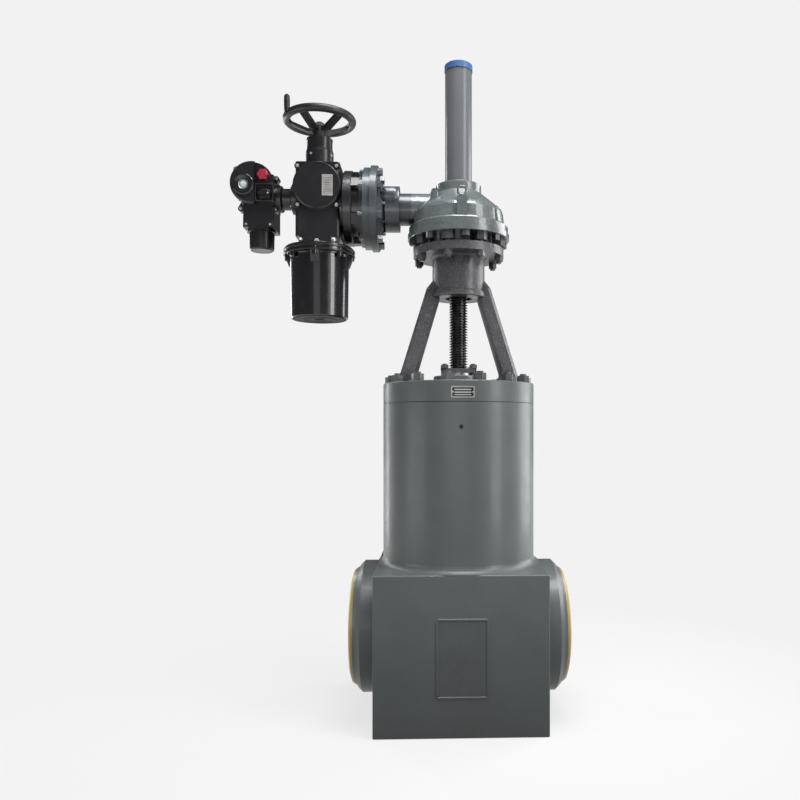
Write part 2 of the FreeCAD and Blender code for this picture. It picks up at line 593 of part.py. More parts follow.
minus("yoke", yoke, fused("yoke_cut_tools", yoke_cuts), keep=True)
fasteners("yoke_foot_bolts", "foot_pitch_r", foot_starts, "2", "foot_flats", "foot_head",
          "foot_bolt_r", "foot_tall + foot_bolt_in", at=("0", "0", f"{cover_top} + foot_tall"))

# ---------------------------------------------------------------- gearbox
plate_low = f"({flange_top} + spigot_tall)"
plate_top = f"({plate_low} + plate_tall)"
base_blank = turned("gearbox_base_blank", [
    ("nut_r + 4", flange_top), ("spigot_r", flange_top), ("spigot_r", plate_low),
    ("plate_r - 2", plate_low), ("plate_r", f"{plate_low} + 2"), ("plate_r", plate_top),
    ("bearing_r + fit_gap", plate_top),
    ("bearing_r + fit_gap", "nut_flange_low - bearing_tall"),
    ("nut_r + 4", "nut_flange_low - bearing_tall")], keep=False)
stud_hole_low = hole_tool("base_stud_holes", "stud_pitch_r", ["stud_start"], "stud_count",
                          "stud_r + fit_gap", "plate_tall + 2", ("0", "0", f"{plate_top} + 1"))
screw_hole_low = hole_tool("base_screw_holes", "screw_pitch_r", ["screw_start"], "screw_count",
                           "screw_r + fit_gap", "plate_tall + 2",
                           ("0", "0", f"{plate_top} + 1"))
minus("gearbox_base", base_blank, fused("base_holes", [stud_hole_low, screw_hole_low]),
      keep=True)
bell_flange_top = f"({plate_top} + bell_flange)"
cone_slope = "(bell_neck_low - bell_shoulder)/(bell_high_r - bell_neck_r)"
bearing_bore = "(bell_neck_r - bell_wall)"
inner_cone = f"bell_shoulder - bell_wall*1.31 + (bell_high_r - {bearing_bore})*{cone_slope}"
bell_outer = turned("bell_outer", [
    ("0", plate_top), ("bell_flange_r", plate_top), ("bell_flange_r", f"{bell_flange_top}"),
    ("bell_flange_r - bell_step", f"{bell_flange_top}"),
    ("bell_low_r", f"{bell_flange_top} + bell_step"),
    ("bell_high_r + bell_round*0.05", "bell_shoulder - bell_round*0.8"),
    ("bell_high_r - bell_round*0.3", "bell_shoulder + bell_round*0.05"),
    ("bell_high_r - bell_round", f"bell_shoulder + bell_round*{cone_slope}"),
    ("bell_neck_r", "bell_neck_low"), ("bell_neck_r", "bell_top - 3"),
    ("bell_neck_r - 3", "bell_top"), ("0", "bell_top")], keep=False)
plug_spot = ("plug_pitch_r*cos(plug_turn)", "plug_pitch_r*sin(plug_turn)")
plug_boss = rod("plug_boss", "plug_r", "plug_top - plug_low", plug_spot + ("plug_low",))
plug_hole = rod("plug_hole", "plug_shank + fit_gap", "plug_in + 3",
                plug_spot + ("plug_top - plug_in - 2",))
bell_boss = rod("bell_boss", "input_r", "tube_start - 90",
                ("-tube_start", "0", "drive_axis"), "X")
rib = box("bell_rib", ("rib_wide", "rib_out - rib_in", "rib_top - rib_low"),
          ("eye_x - rib_wide/2", "-rib_out", "rib_low"))
bell_inner = turned("bell_inner", [
    ("0", f"{plate_top} - 1"), ("bell_low_r - bell_wall", f"{plate_top} - 1"),
    ("bell_low_r - bell_wall", bell_flange_top),
    ("bell_high_r - bell_wall", "bell_shoulder - bell_wall*0.5"),
    (bearing_bore, inner_cone), (bearing_bore, "nut_shoulder + bearing_tall + fit_gap"),
    ("tube_r - tube_wall", "nut_shoulder + bearing_tall + fit_gap"),
    ("tube_r - tube_wall", "bell_top + 1"), ("0", "bell_top + 1")], keep=False)
input_bore = rod("bell_input_bore", "input_bore_r + 16", "tube_start + 2",
                 ("-tube_start - 1", "0", "drive_axis"), "X")
bell_tools = [
    bell_inner, input_bore, plug_hole,
    hole_tool("bell_stud_holes", "stud_pitch_r", ["stud_start"], "stud_count",
              "stud_r + fit_gap", "stud_in + 2", ("0", "0", f"{plate_top} + stud_in + 2")),
    hole_tool("bell_screw_holes", "screw_pitch_r", ["screw_start"], "screw_count",
              "screw_r + fit_gap", "screw_in + 2", ("0", "0", f"{plate_top} + screw_in + 2"))]
minus("gearbox_housing", fused("bell_solid", [bell_outer, bell_boss, rib, plug_boss]),
      fused("bell_cuts", bell_tools), keep=True)

# ---------------------------------------------------------------- joint studs and base screws
joint = new_body("joint_studs", ("0", "0", "0"), "Z", True)
stud_spot = ("stud_pitch_r*cos(stud_start)", "stud_pitch_r*sin(stud_start)")
upper_nut = new_sketch(joint, "joint_upper_nut", level=f"{plate_low} - stud_nut")
draw_outline(upper_nut, hexagon("stud_pitch_r", "stud_start", "stud_flats"))
lower_nut = new_sketch(joint, "joint_lower_nut", level="yoke_flange_low - low_nut")
draw_outline(lower_nut, hexagon("stud_pitch_r", "stud_start", "low_flats"))
stud_rod = new_sketch(joint, "joint_rod", level="yoke_flange_low - low_nut - stud_end")
draw_circle(stud_rod, stud_spot, "stud_r")
ring_of(joint, [
    pad(joint, stud_rod, f"{plate_top} + stud_in - yoke_flange_low + low_nut + stud_end"),
    pad(joint, upper_nut, "stud_nut"), pad(joint, lower_nut, "low_nut")],
    "stud_count", "joint_ring")
fasteners("base_screws", "screw_pitch_r", ["-screw_start"], "screw_count", "screw_flats",
          "screw_head", "screw_r", "plate_tall + screw_in", at=("0", "0", plate_low), axis="-Z")

# ---------------------------------------------------------------- bevel gear pair
pitch_crown = "gear_module*crown_teeth/2"
pitch_pinion = "gear_module*pinion_teeth/2"


def bevel_profile(own, mate, bore, hub, back, hub_back):
    """Return the blank's (radius, height) outline, with the shared apex at height 0.

    Heights are distances from the apex along the gear's own axis. Tip and root lines
    run to the apex; the back face stands square to the pitch cone.
    """
    cone = math.hypot(own, mate)
    sine = own / cone
    cosine = mate / cone
    module = value("gear_module")
    inner = 1 - value("gear_face") / cone

    def corner(rise, share):
        return (share * (own + rise * cosine), share * (mate - rise * sine))

    tip_out = corner(module, 1)
    root_out = corner(-1.9 * module, 1)
    tip_in = corner(module, inner)
    root_in = corner(-1.9 * module, inner)
    return [(bore, hub_back), (hub, hub_back), (hub, back), root_out, tip_out, tip_in, root_in,
            (bore, root_in[1])]


def tooth_space(teeth, own, mate):
    """Return the solid that cuts one straight bevel tooth space at azimuth 0.

    The flanks follow the involute of the equivalent spur gear, drawn on the plane
    square to the pitch cone and drawn in to the shared apex.
    """
    cone = math.hypot(own, mate)
    sine = own / cone
    cosine = mate / cone
    module = value("gear_module")
    pressure = math.radians(20)
    reach = own / cosine
    base = reach * math.cos(pressure)
    share = math.tan(pressure) - pressure
    play = value("backlash") / (2 * reach)
    half_space = math.pi / (2 * teeth / cosine) + play
    levels = [reach - 1.25 * module, max(base, reach - 0.6 * module), reach,
              reach + 0.55 * module, reach + 1.35 * module]

    def half_width(radius):
        turn = math.acos(min(1.0, base / radius))
        angle = half_space - share + math.tan(turn) - turn
        return radius * math.sin(angle), radius * math.cos(angle) - reach

    right = [half_width(radius) for radius in levels]
    outline = right + [(-side, up) for side, up in reversed(right)]
    wires = []
    for scale in (1.04, 1 - value("gear_face") / cone - 0.06):
        corners = [FreeCAD.Vector(scale * (own + up * cosine), scale * side,
                                  scale * (mate - up * sine)) for side, up in outline]
        wires.append(Part.makePolygon(corners + corners[:1]))
    return Part.makeLoft(wires, True, True)


def bevel_gear(teeth, own, mate, bore, hub, back, hub_back, first):
    """Cut a bevel gear about Z with its apex at the origin and its back at +Z."""
    corners = [FreeCAD.Vector(radius, 0, height) for radius, height in
               bevel_profile(own, mate, bore, hub, back, hub_back)]
    face = Part.Face(Part.makePolygon(corners + corners[:1]))
    blank = face.revolve(FreeCAD.Vector(), FreeCAD.Vector(0, 0, 1), 360)
    space = tooth_space(teeth, own, mate)
    spaces = []
    for i in range(teeth):
        turned_space = space.copy()
        turned_space.rotate(FreeCAD.Vector(), FreeCAD.Vector(0, 0, 1),
                            first + 360 * i / teeth)
        spaces.append(turned_space)
    return blank.cut(Part.makeCompound(spaces))


def gear_feature(label, shape, axis, height):
    """Store a cut gear as a finished piece with its apex on the drive axis."""
    gear = doc.addObject("Part::Feature", label)
    gear.Shape = shape
    return named(place(gear, ("0", "0", height), axis), label)


crown_count = int(value("crown_teeth"))
pinion_count = int(value("pinion_teeth"))
own_crown = value(pitch_crown)
own_pinion = value(pitch_pinion)
apex_drop = value("drive_axis - nut_flange_low - nut_flange")
crown = bevel_gear(crown_count, own_crown, own_pinion, value("nut_r + key_gap"),
                   value("crown_hub_r"), value("drive_axis - crown_low"), apex_drop,
                   180 / crown_count)
gear_feature("crown_gear", crown, "-Z", "drive_axis")
pinion = bevel_gear(pinion_count, own_pinion, own_crown, value("shaft_r + key_gap"),
                    value("pinion_bearing_r - 6"), own_crown + value("pinion_back"),
                    own_crown + value("pinion_back"), 0)
gear_feature("bevel_pinion", pinion, "-X", "drive_axis")

# ---------------------------------------------------------------- stem nut and bearings
turned("stem_nut", [
    ("stem_r + run_gap", "nut_low"), ("nut_r", "nut_low"), ("nut_r", "nut_flange_low"),
    ("nut_flange_r", "nut_flange_low"), ("nut_flange_r", "nut_flange_low + nut_flange"),
    ("nut_r", "nut_flange_low + nut_flange"), ("nut_r", "nut_shoulder"),
    ("nut_top_r", "nut_shoulder"), ("nut_top_r", "nut_shoulder + bearing_tall"),
    ("stem_r + run_gap", "nut_shoulder + bearing_tall")])
lower_ring = turned("thrust_ring_lower", [
    ("nut_r + run_gap", "nut_flange_low - bearing_tall"),
    ("bearing_r", "nut_flange_low - bearing_tall"), ("bearing_r", "nut_flange_low"),
    ("nut_r + run_gap", "nut_flange_low")], keep=False)
upper_ring = turned("thrust_ring_upper", [
    ("nut_top_r + run_gap", "nut_shoulder"), (f"{bearing_bore} - fit_gap", "nut_shoulder"),
    (f"{bearing_bore} - fit_gap", "nut_shoulder + bearing_tall"),
    ("nut_top_r + run_gap", "nut_shoulder + bearing_tall")], keep=False)
fused("thrust_bearings", [lower_ring, upper_ring], keep=True, refine=False)

# ---------------------------------------------------------------- lifting eye and filler plug
ring_wire = doc.addObject("Part::Torus", "eye_ring")
bind(ring_wire, Radius1="eye_ring_r", Radius2="eye_wire")
place(ring_wire, ("eye_x", "-rib_out + 22", "rib_top + eye_ring_r + eye_wire + 3"), "-Y")
eye_foot = rod("eye_foot", "eye_shank + 5", "6", ("eye_x", "-rib_out + 22", "rib_top"))
fused("lifting_eye", [ring_wire, eye_foot], keep=True)
plug = new_body("filler_plug", ("0", "0", "plug_top"), "Z", True)
plug_outline = new_sketch(plug, "plug_hexagon")
draw_outline(plug_outline, hexagon("plug_pitch_r", "plug_turn", "plug_flats"))
pad(plug, plug_outline, "plug_head")
plug_circle = new_sketch(plug, "plug_shank_circle", level="1")
draw_circle(plug_circle, plug_spot, "plug_shank")
pad(plug, plug_circle, "plug_in + 1", down=True)

# ---------------------------------------------------------------- input housing and shaft
input_casting = turned("input_casting", [
    ("input_bore_r", "tube_start"), ("input_r", "tube_start"), ("input_r", "collar_start"),
    ("collar_r", "collar_start"), ("collar_r", "collar_end"), ("cone_start_r", "collar_end"),
    ("cone_r", "cone_end"), ("grey_r - 4", "cone_end"), ("grey_r", "cone_end + 4"),
    ("grey_r", "cone_end + grey_step"), ("grey_step_r", "cone_end + grey_step"),
    ("grey_step_r", "cone_end + grey_thick"), ("input_bore_r", "cone_end + grey_thick")],
    at=("0", "0", "drive_axis"), axis="-X", keep=False)
gusset = new_sketch(input_casting, "gusset_side", "XZ_Plane")
draw_outline(gusset, [
    ("input_bore_r + 10", "collar_end - 2"), ("collar_r", "collar_end - 2"),
    ("collar_r + 16", "collar_end + 30"), ("grey_r - 8", "cone_end + 2"),
    ("input_bore_r + 10", "cone_end + 2")])
gusset_pad = pad(input_casting, gusset, "gusset_wide")
gusset_pad.SideType = "Symmetric"
ring_of(input_casting, [gusset_pad], "input_bolts", "gusset_ring")
input_holes = hole_tool("input_bolt_holes", "input_pitch_r", ["180/input_bolts"],
                        "input_bolts", "input_bolt_r + fit_gap", "grey_thick + 2",
                        ("-cone_end + 1", "0", "drive_axis"), "X")
minus("input_housing", input_casting, input_holes, keep=True)
fasteners("input_flange_bolts", "input_pitch_r", ["180/input_bolts"], "input_bolts",
          "input_flats", "input_head", "input_bolt_r", "grey_thick + drum_hole",
          at=("-cone_end", "0", "drive_axis"), axis="X")
shaft_rings = []
for number, start in enumerate(("tube_start + 6", "collar_end - pinion_bearing")):
    shaft_rings.append(turned(f"shaft_ring_{number}", [
        ("shaft_r + run_gap", start), ("input_bore_r - run_gap", start),
        ("input_bore_r - run_gap", f"{start} + pinion_bearing"),
        ("shaft_r + run_gap", f"{start} + pinion_bearing")],
        at=("0", "0", "drive_axis"), axis="-X", keep=False))
fused("shaft_bearings", shaft_rings, keep=True, refine=False)
shaft_end = "(worm_x + sleeve_long/2)"
turned("input_shaft", [
    ("0", "nut_r + 34"), ("shaft_r - 2", "nut_r + 34"), ("shaft_r", "nut_r + 36"),
    ("shaft_r", f"{shaft_end} - 4"), ("shaft_r - 2", f"{shaft_end} - 2"),
    ("0", f"{shaft_end} - 2")], at=("0", "0", "drive_axis"), axis="-X")

# ---------------------------------------------------------------- actuator drum
drum_start = "(cone_end + grey_thick)"
box_side = "(worm_x - output_reach)"
drum = turned("drum_casting", [
    ("drum_bore_r", drum_start), ("drum_r", drum_start), ("drum_r", f"{drum_start} + drum_rim"),
    ("drum_neck_r", f"{drum_start} + drum_rim"), ("drum_neck_r", f"{box_side} - drum_back"),
    ("drum_r - 4", f"{box_side} - drum_back"), ("drum_r", f"{box_side} - drum_back + 4"),
    ("drum_r", f"{box_side} - 4"), ("drum_r - 6", box_side), ("drum_bore_r", box_side)],
    at=("0", "0", "drive_axis"), axis="-X", keep=False)
bridge = new_sketch(drum, "drum_bridge", level=f"{drum_start} + 2")
draw_outline(bridge, [
    ("drum_bore_r + 20", "-bridge_wide/2"), ("drum_r - 3", "-bridge_wide/2"),
    ("drum_r - 3", "bridge_wide/2"), ("drum_bore_r + 20", "bridge_wide/2")])
ring_of(drum, [pad(drum, bridge, f"{box_side} - {drum_start} - 8")], "bridge_count",
        "drum_bridges")
drum_holes = hole_tool("drum_bolt_holes", "input_pitch_r", ["180/input_bolts"],
                       "input_bolts", "input_bolt_r + fit_gap", "drum_hole + 1",
                       (f"-{drum_start} + 1", "0", "drive_axis"), "X")
minus("gear_drum", drum, drum_holes, keep=True)

# ---------------------------------------------------------------- actuator housing
worm_spot = ("-worm_x", "-worm_y")
core = block("actuator_core", [
    ("-worm_x - box_wide/2", "-box_front"), ("-worm_x + box_wide/2", "-box_front"),
    ("-worm_x + box_wide/2", "box_back"), ("-worm_x - box_wide/2", "box_back")],
    "box_top - box_low", at=("0", "0", "box_low"), keep=False)


def upright(edge):
    """Tell whether an edge runs along Z."""
    return edge.BoundBox.ZLength > 10 and edge.BoundBox.XLength < 1 and edge.BoundBox.YLength < 1


soften(core, "box_round", upright)
barrel = rod("actuator_barrel", "barrel_r", "barrel_front + barrel_back",
             ("-worm_x", "-barrel_front", "barrel_z"), "Y")
output_pad = rod("actuator_output_pad", "output_r", "output_reach",
                 ("-worm_x", "0", "drive_axis"), "X")
control_pad = rod("actuator_control_pad", "neck_ring_r", "barrel_r + neck_pad",
                  ("-worm_x", "0", "neck_high"), "-X")
ears = []
for across in (-1, 1):
    for up in (-1, 1):
        ears.append(rod(f"ear_{across}_{up}", "ear_r", "ear_long",
                        (f"-worm_x + ({across})*ear_reach*cos(45)", "-barrel_front",
                         f"barrel_z + ({up})*ear_reach*sin(45)"), "Y"))
housing_cuts = [
    rod("wheel_cavity", "cavity_r", "output_reach + worm_wheel_wide/2 + wheel_room + 1",
        ("-worm_x - worm_wheel_wide/2 - wheel_room", "0", "drive_axis"), "X"),
    rod("sleeve_cavity", "sleeve_r + run_gap", "sleeve_long",
        ("-worm_x - sleeve_long/2", "0", "drive_axis"), "X"),
    rod("worm_cavity", "worm_cavity_r", "box_top - worm_shaft_low + worm_end + 1",
        (*worm_spot, "worm_shaft_low - worm_end")),
    rod("motor_shaft_bore", "rotor_shaft_r + run_gap", "worm_shaft_low - box_low",
        (*worm_spot, "box_low - 1"))]
minus("actuator_housing", fused("actuator_solid", [core, barrel, output_pad, control_pad, *ears]),
      fused("actuator_cuts", housing_cuts), keep=True)
turned("front_cover", [
    ("0", "0"), ("cover_plate_r", "0"), ("cover_plate_r", "cover_plate - cover_plate_round"),
    ("cover_plate_r - cover_plate_round", "cover_plate"), ("0", "cover_plate")],
    at=("-worm_x", "-barrel_front", "barrel_z"), axis="-Y")

# ---------------------------------------------------------------- worm drive
worm_rings = []
for number, level in enumerate(("worm_shaft_low", "box_top - worm_bearing - 4")):
    worm_rings.append(turned(f"worm_ring_{number}", [
        ("hand_shaft_r + run_gap", level), ("worm_cavity_r - run_gap", level),
        ("worm_cavity_r - run_gap", f"{level} + worm_bearing"),
        ("hand_shaft_r + run_gap", f"{level} + worm_bearing")],
        at=(*worm_spot, "0"), keep=False))
fused("worm_bearings", worm_rings, keep=True, refine=False)
turned("worm_shaft", [
    ("0", "worm_shaft_low"), ("hand_shaft_r", "worm_shaft_low"),
    ("hand_shaft_r", "drive_axis - worm_long/2"), ("worm_r", "drive_axis - worm_long/2"),
    ("worm_r", "drive_axis + worm_long/2"), ("hand_shaft_r", "drive_axis + worm_long/2"),
    ("hand_shaft_r", "wheel_hub_top + hub_nut + 2"),
    ("0", "wheel_hub_top + hub_nut + 2")], at=(*worm_spot, "0"))
turned("drive_sleeve", [
    ("shaft_r + key_gap", "-sleeve_long/2 + 2"), ("sleeve_r", "-sleeve_long/2 + 2"),
    ("sleeve_r", "-worm_wheel_wide/2"), ("wheel_pitch_r", "-worm_wheel_wide/2"),
    ("wheel_pitch_r", "worm_wheel_wide/2"), ("sleeve_r", "worm_wheel_wide/2"),
    ("sleeve_r", "sleeve_long/2 - 2"), ("shaft_r + key_gap", "sleeve_long/2 - 2")],
    at=("-worm_x", "0", "drive_axis"), axis="X")

# ---------------------------------------------------------------- hand drive
turned("hand_column", [
    ("hand_shaft_r + run_gap", "box_top"), ("column_low_r", "box_top"),
    ("column_low_r", "column_step - 4"), ("column_low_r - 4", "column_step"),
    ("column_r", "column_step"), ("column_r", "column_top - 5"), ("column_r - 5", "column_top"),
    ("hand_shaft_r + run_gap", "column_top")], at=(*worm_spot, "0"))
wheel = turned("handwheel", [
    ("hand_shaft_r + key_gap", "hub_low"), ("wheel_hub_r - 6", "hub_low"),
    ("wheel_hub_r", "hub_low + 8"), ("wheel_hub_r", "wheel_hub_top - 6"),
    ("wheel_hub_r - 8", "wheel_hub_top"), ("hand_shaft_r + key_gap", "wheel_hub_top")],
    at=(*worm_spot, "0"))
spoke_side = new_sketch(wheel, "spoke_side", "XZ_Plane")
draw_outline(spoke_side, [
    ("wheel_hub_r - 6", "wheel_hub_top - spoke_drop - spoke_thick"),
    ("wheel_hub_r + 18", "wheel_hub_top - spoke_drop - spoke_thick"),
    ("wheel_r", "wheel_z - spoke_thick/2"), ("wheel_r", "wheel_z + spoke_thick/2"),
    ("wheel_hub_r + 14", "wheel_hub_top - spoke_drop"),
    ("wheel_hub_r - 6", "wheel_hub_top - spoke_drop")])
spoke = pad(wheel, spoke_side, "spoke_wide")
spoke.SideType = "Symmetric"
ring_of(wheel, [spoke], "spoke_count", "spokes")
rim_section = new_sketch(wheel, "rim_section", "XZ_Plane")
draw_circle(rim_section, ("wheel_r", "wheel_z"), "rim_r")
rim = wheel.newObject("PartDesign::Revolution", "rim")
rim.Profile = rim_section
rim.ReferenceAxis = (rim_section, ["V_Axis"])
rim.Angle = 360
pin_sketch = new_sketch(wheel, "grip_pin", level="wheel_z")
draw_circle(pin_sketch, ("wheel_r*cos(grip_turn - spoke_turn)",
                         "wheel_r*sin(grip_turn - spoke_turn)"), "grip_pin_r")
wheel.Tip = pad(wheel, pin_sketch, "rim_r + grip_gap + grip_long + 4")
wheel.setExpression("Placement.Rotation.Angle", linked("spoke_turn"))
block("hub_nut", hexagon("0", "0", "hub_nut_flats"), "hub_nut",
      at=(*worm_spot, "wheel_hub_top"), keep=False)
minus("handwheel_nut", doc.getObject("hub_nut"),
      rod("hub_nut_bore", "hand_shaft_r + key_gap", "hub_nut + 2",
          (*worm_spot, "wheel_hub_top - 1")), keep=True)
turned("grip", [
    ("grip_pin_r + run_gap", "0"), ("grip_r - 3", "0"), ("grip_r - 1", "4"),
    ("grip_r", "grip_long*0.6"), ("grip_r - 1", "grip_long - 4"), ("grip_r - 4", "grip_long"),
    ("grip_pin_r + run_gap", "grip_long")],
    at=("-worm_x + wheel_r*cos(grip_turn)", "-worm_y + wheel_r*sin(grip_turn)",
        "wheel_z + rim_r + grip_gap"))

# ---------------------------------------------------------------- motor
adapter = block("motor_adapter_blank", [
    ("adapter_half", "-adapter_half + adapter_cut"), ("adapter_half", "adapter_half - adapter_cut"),
    ("adapter_half - adapter_cut", "adapter_half"), ("-adapter_half + adapter_cut", "adapter_half"),
    ("-adapter_half", "adapter_half - adapter_cut"), ("-adapter_half", "-adapter_half + adapter_cut"),
    ("-adapter_half + adapter_cut", "-adapter_half"), ("adapter_half - adapter_cut", "-adapter_half")],
    "box_low - adapter_low", at=(*worm_spot, "adapter_low"), keep=False)
minus("motor_adapter", adapter,
      rod("adapter_bore", "rotor_shaft_r + run_gap", "box_low - adapter_low + 2",
          (*worm_spot, "adapter_low - 1")), keep=True)
can = turned("motor_can", [
    ("0", "can_low + can_dish"), ("can_low_r - 16", "can_low + can_dish"),
    ("can_low_r - 12", "can_low"), ("can_low_r - 4", "can_low"), ("can_low_r", "can_low + 5"),
    ("can_r", "ring_low - 4"), ("ring_step_r", "ring_low - 4"), ("ring_step_r", "ring_low + 4"),
    ("ring_r", "ring_low + 4"), ("ring_r", "adapter_low - 3"), ("ring_r - 3", "adapter_low"),
    ("rotor_shaft_r + 14", "adapter_low"), ("rotor_shaft_r + 14", "adapter_low - can_wall"),
    ("can_r - can_wall", "adapter_low - can_wall"), ("can_low_r - can_wall", "can_low + can_floor"),
    ("rotor_shaft_r + 10", "can_low + can_floor"), ("rotor_shaft_r + 10", "rotor_low - 2"),
    ("rotor_shaft_r + run_gap", "rotor_low - 2"), ("rotor_shaft_r + run_gap", "can_low + can_floor"),
    ("0", "can_low + can_floor")], at=(*worm_spot, "0"))
lug = new_sketch(can, "motor_lug", level="ring_low - lug_drop")
draw_circle(lug, ("ring_step_r", "0"), "lug_r")
ring_of(can, [pad(can, lug, "adapter_low - ring_low + lug_drop - 6")], "lug_count", "motor_lugs")
turned("motor_stator", [
    ("stator_in_r", "rotor_low - 2"), ("can_low_r - can_wall - run_gap", "rotor_low - 2"),
    ("can_low_r - can_wall - run_gap", "rotor_low + stator_tall - 2"),
    ("stator_in_r", "rotor_low + stator_tall - 2")], at=(*worm_spot, "0"))
turned("motor_rotor", [
    ("0", "can_low + can_floor + fit_gap"), ("rotor_shaft_r", "can_low + can_floor + fit_gap"),
    ("rotor_shaft_r", "rotor_low"), ("rotor_r", "rotor_low"), ("rotor_r", "rotor_low + rotor_tall"),
    ("rotor_shaft_r", "rotor_low + rotor_tall"),
    ("rotor_shaft_r", "worm_shaft_low - worm_end - 2"),
    ("0", "worm_shaft_low - worm_end - 2")], at=(*worm_spot, "0"))

# ---------------------------------------------------------------- local controls
neck_start = "(worm_x + barrel_r + neck_pad)"
turned("control_neck", [
    ("0", neck_start), ("neck_ring_r", neck_start), ("neck_ring_r", f"{neck_start} + neck_ring"),
    ("waist_r + 5", f"{neck_start} + neck_ring"), ("waist_r", f"{neck_start} + neck_ring + 6"),
    ("waist_r", "neck_end - neck_ring - 5"), ("control_neck_r - 2", "neck_end - neck_ring"),
    ("control_neck_r", "neck_end - neck_ring + 2"), ("control_neck_r", "neck_end"),
    ("0", "neck_end")], at=("0", "0", "neck_high"), axis="-X")
face_y = "(recess_deep - control_front)"
head_round = turned("control_head", [
    ("0", "0"), ("control_r - control_round", "0"), ("control_r", "control_round"),
    ("control_r", "control_front + control_back - control_round"),
    ("control_r - control_round", "control_front + control_back"),
    ("0", "control_front + control_back")],
    at=("-head_x", "control_back", "head_z"), axis="-Y", keep=False)
recess = box("control_recess", ("control_r + 20", "recess_deep + 1", "2*control_r + 12"),
             ("-head_x + recess_x", "-control_front - 1", "head_z - control_r - 6"))
panel = box("control_panel", ("panel_wide", "control_front + control_back - 24",
                              "panel_tall"),
            ("-head_x + recess_x - 10", "-control_front + 4", "head_z - panel_drop"))
neck_root = rod("control_neck_root", "control_neck_r", "head_x - neck_end",
                ("-head_x", "0", "neck_high"), "X")
terminal = block("terminal_box", [
    ("-term_x - term_wide/2", "-term_front"), ("-term_x + term_wide/2", "-term_front"),
    ("-term_x + term_wide/2", "term_back"), ("-term_x - term_wide/2", "term_back")],
    "head_z - control_r + term_in - term_low", at=("0", "0", "term_low"), keep=False)
soften(terminal, "control_round", upright)
control_cuts = [
    recess,
    rod("window_sink", "window_r + fit_gap", "window_deep",
        ("-head_x - window_x", "-control_front - 1", "head_z - window_z"), "Y"),
    rod("red_socket", "knob_stem_r + run_gap", "knob_stem",
        ("-head_x + red_x", face_y, "head_z + red_z"), "Y"),
    rod("black_socket", "knob_stem_r + run_gap", "knob_stem",
        ("-head_x + black_x", face_y, "head_z + black_z"), "Y"),
    rod("cable_entry_hole", "entry_r", "entry_deep",
        ("-term_x", "term_back + entry_boss + 1", "entry_z"), "-Y")]
entry_ring = rod("cable_entry_boss", "entry_boss_r", "entry_boss + 4",
                 ("-term_x", "term_back - 4", "entry_z"), "Y")
minus("control_housing", fused("control_solid", [
    head_round, panel, neck_root, terminal, entry_ring], refine=False),
    fused("control_cuts", control_cuts), keep=True)
turned("window_bezel", [
    ("window_r + fit_gap", "0"), ("window_ring_r", "0"), ("window_ring_r", "window_ring - 3"),
    ("window_ring_r - 3", "window_ring"), ("window_ring_r - 8", "window_ring"),
    ("window_r + fit_gap", "window_ring - 4")],
    at=("-head_x - window_x", "-control_front", "head_z - window_z"), axis="-Y")
turned("indicator_dial", [
    ("0", "0"), ("dial_r", "0"), ("dial_r", "dial_thick"), ("0", "dial_thick")],
    at=("-head_x - window_x", "-control_front + window_deep - 1", "head_z - window_z"),
    axis="-Y")
turned("indicator_glass", [
    ("0", "0"), ("window_r", "0"), ("window_r", "glass_thick"), ("0", "glass_thick")],
    at=("-head_x - window_x", "-control_front + window_deep - 1 - dial_thick",
        "head_z - window_z"), axis="-Y")


def knob(label, radius, long, spot_x, spot_z):
    """Make a knob with a waist, a pointer rib and a stem in its socket."""
    body = turned(label, [
        ("0", "-knob_stem + 1"), ("knob_stem_r", "-knob_stem + 1"), ("knob_stem_r", "knob_gap"),
        (f"{radius} - 2", "knob_gap"), (radius, "knob_gap + 3"), (radius, f"{long}*0.35"),
        (f"{radius} - 5", f"{long}*0.5"), (f"{radius} - 6", f"{long} - 2"),
        (f"{radius} - 8", long), ("0", long)],
        at=(spot_x, face_y, spot_z), axis="-Y")
    bar = new_sketch(body, f"{label}_bar", level=f"{long}*0.5")
    draw_outline(bar, [(f"-{radius} + 2", "-knob_bar/2"), (f"{radius} - 2", "-knob_bar/2"),
                       (f"{radius} - 2", "knob_bar/2"), (f"-{radius} + 2", "knob_bar/2")])
    pad(body, bar, f"{long}*0.5 + 5")


knob("selector_knob", "red_r", "red_long", "-head_x + red_x", "head_z + red_z")
knob("command_knob", "black_r", "black_long", "-head_x + black_x", "head_z + black_z")
turned("terminal_cover", [
    ("0", "term_cover_low"), ("term_cover_low_r - 6", "term_cover_low"),
    ("term_cover_low_r", "term_cover_low + 6"), ("term_cover_r - 2", "term_low - 12"),
    ("term_cover_r + 6", "term_low - 10"), ("term_cover_r + 6", "term_low"),
    ("0", "term_low")], at=("-term_x", "term_mid", "0"))

# ---------------------------------------------------------------- stem tube and cap
turned("stem_tube", [
    ("tube_r - tube_wall", "bell_top"), ("tube_ring_r", "bell_top"),
    ("tube_ring_r", "bell_top + tube_ring"), ("tube_r", "bell_top + tube_ring"),
    ("tube_r", "tube_top"), ("tube_r - tube_wall", "tube_top")])
turned("tube_cap", [
    ("tube_r + run_gap", "tube_top - cap_over"), ("cap_r", "tube_top - cap_over"),
    ("cap_r", "tube_top + cap_rise - 4"), ("cap_r - 5", "tube_top + cap_rise"),
    ("0", "tube_top + cap_rise"), ("0", "tube_top"), ("tube_r + run_gap", "tube_top")])

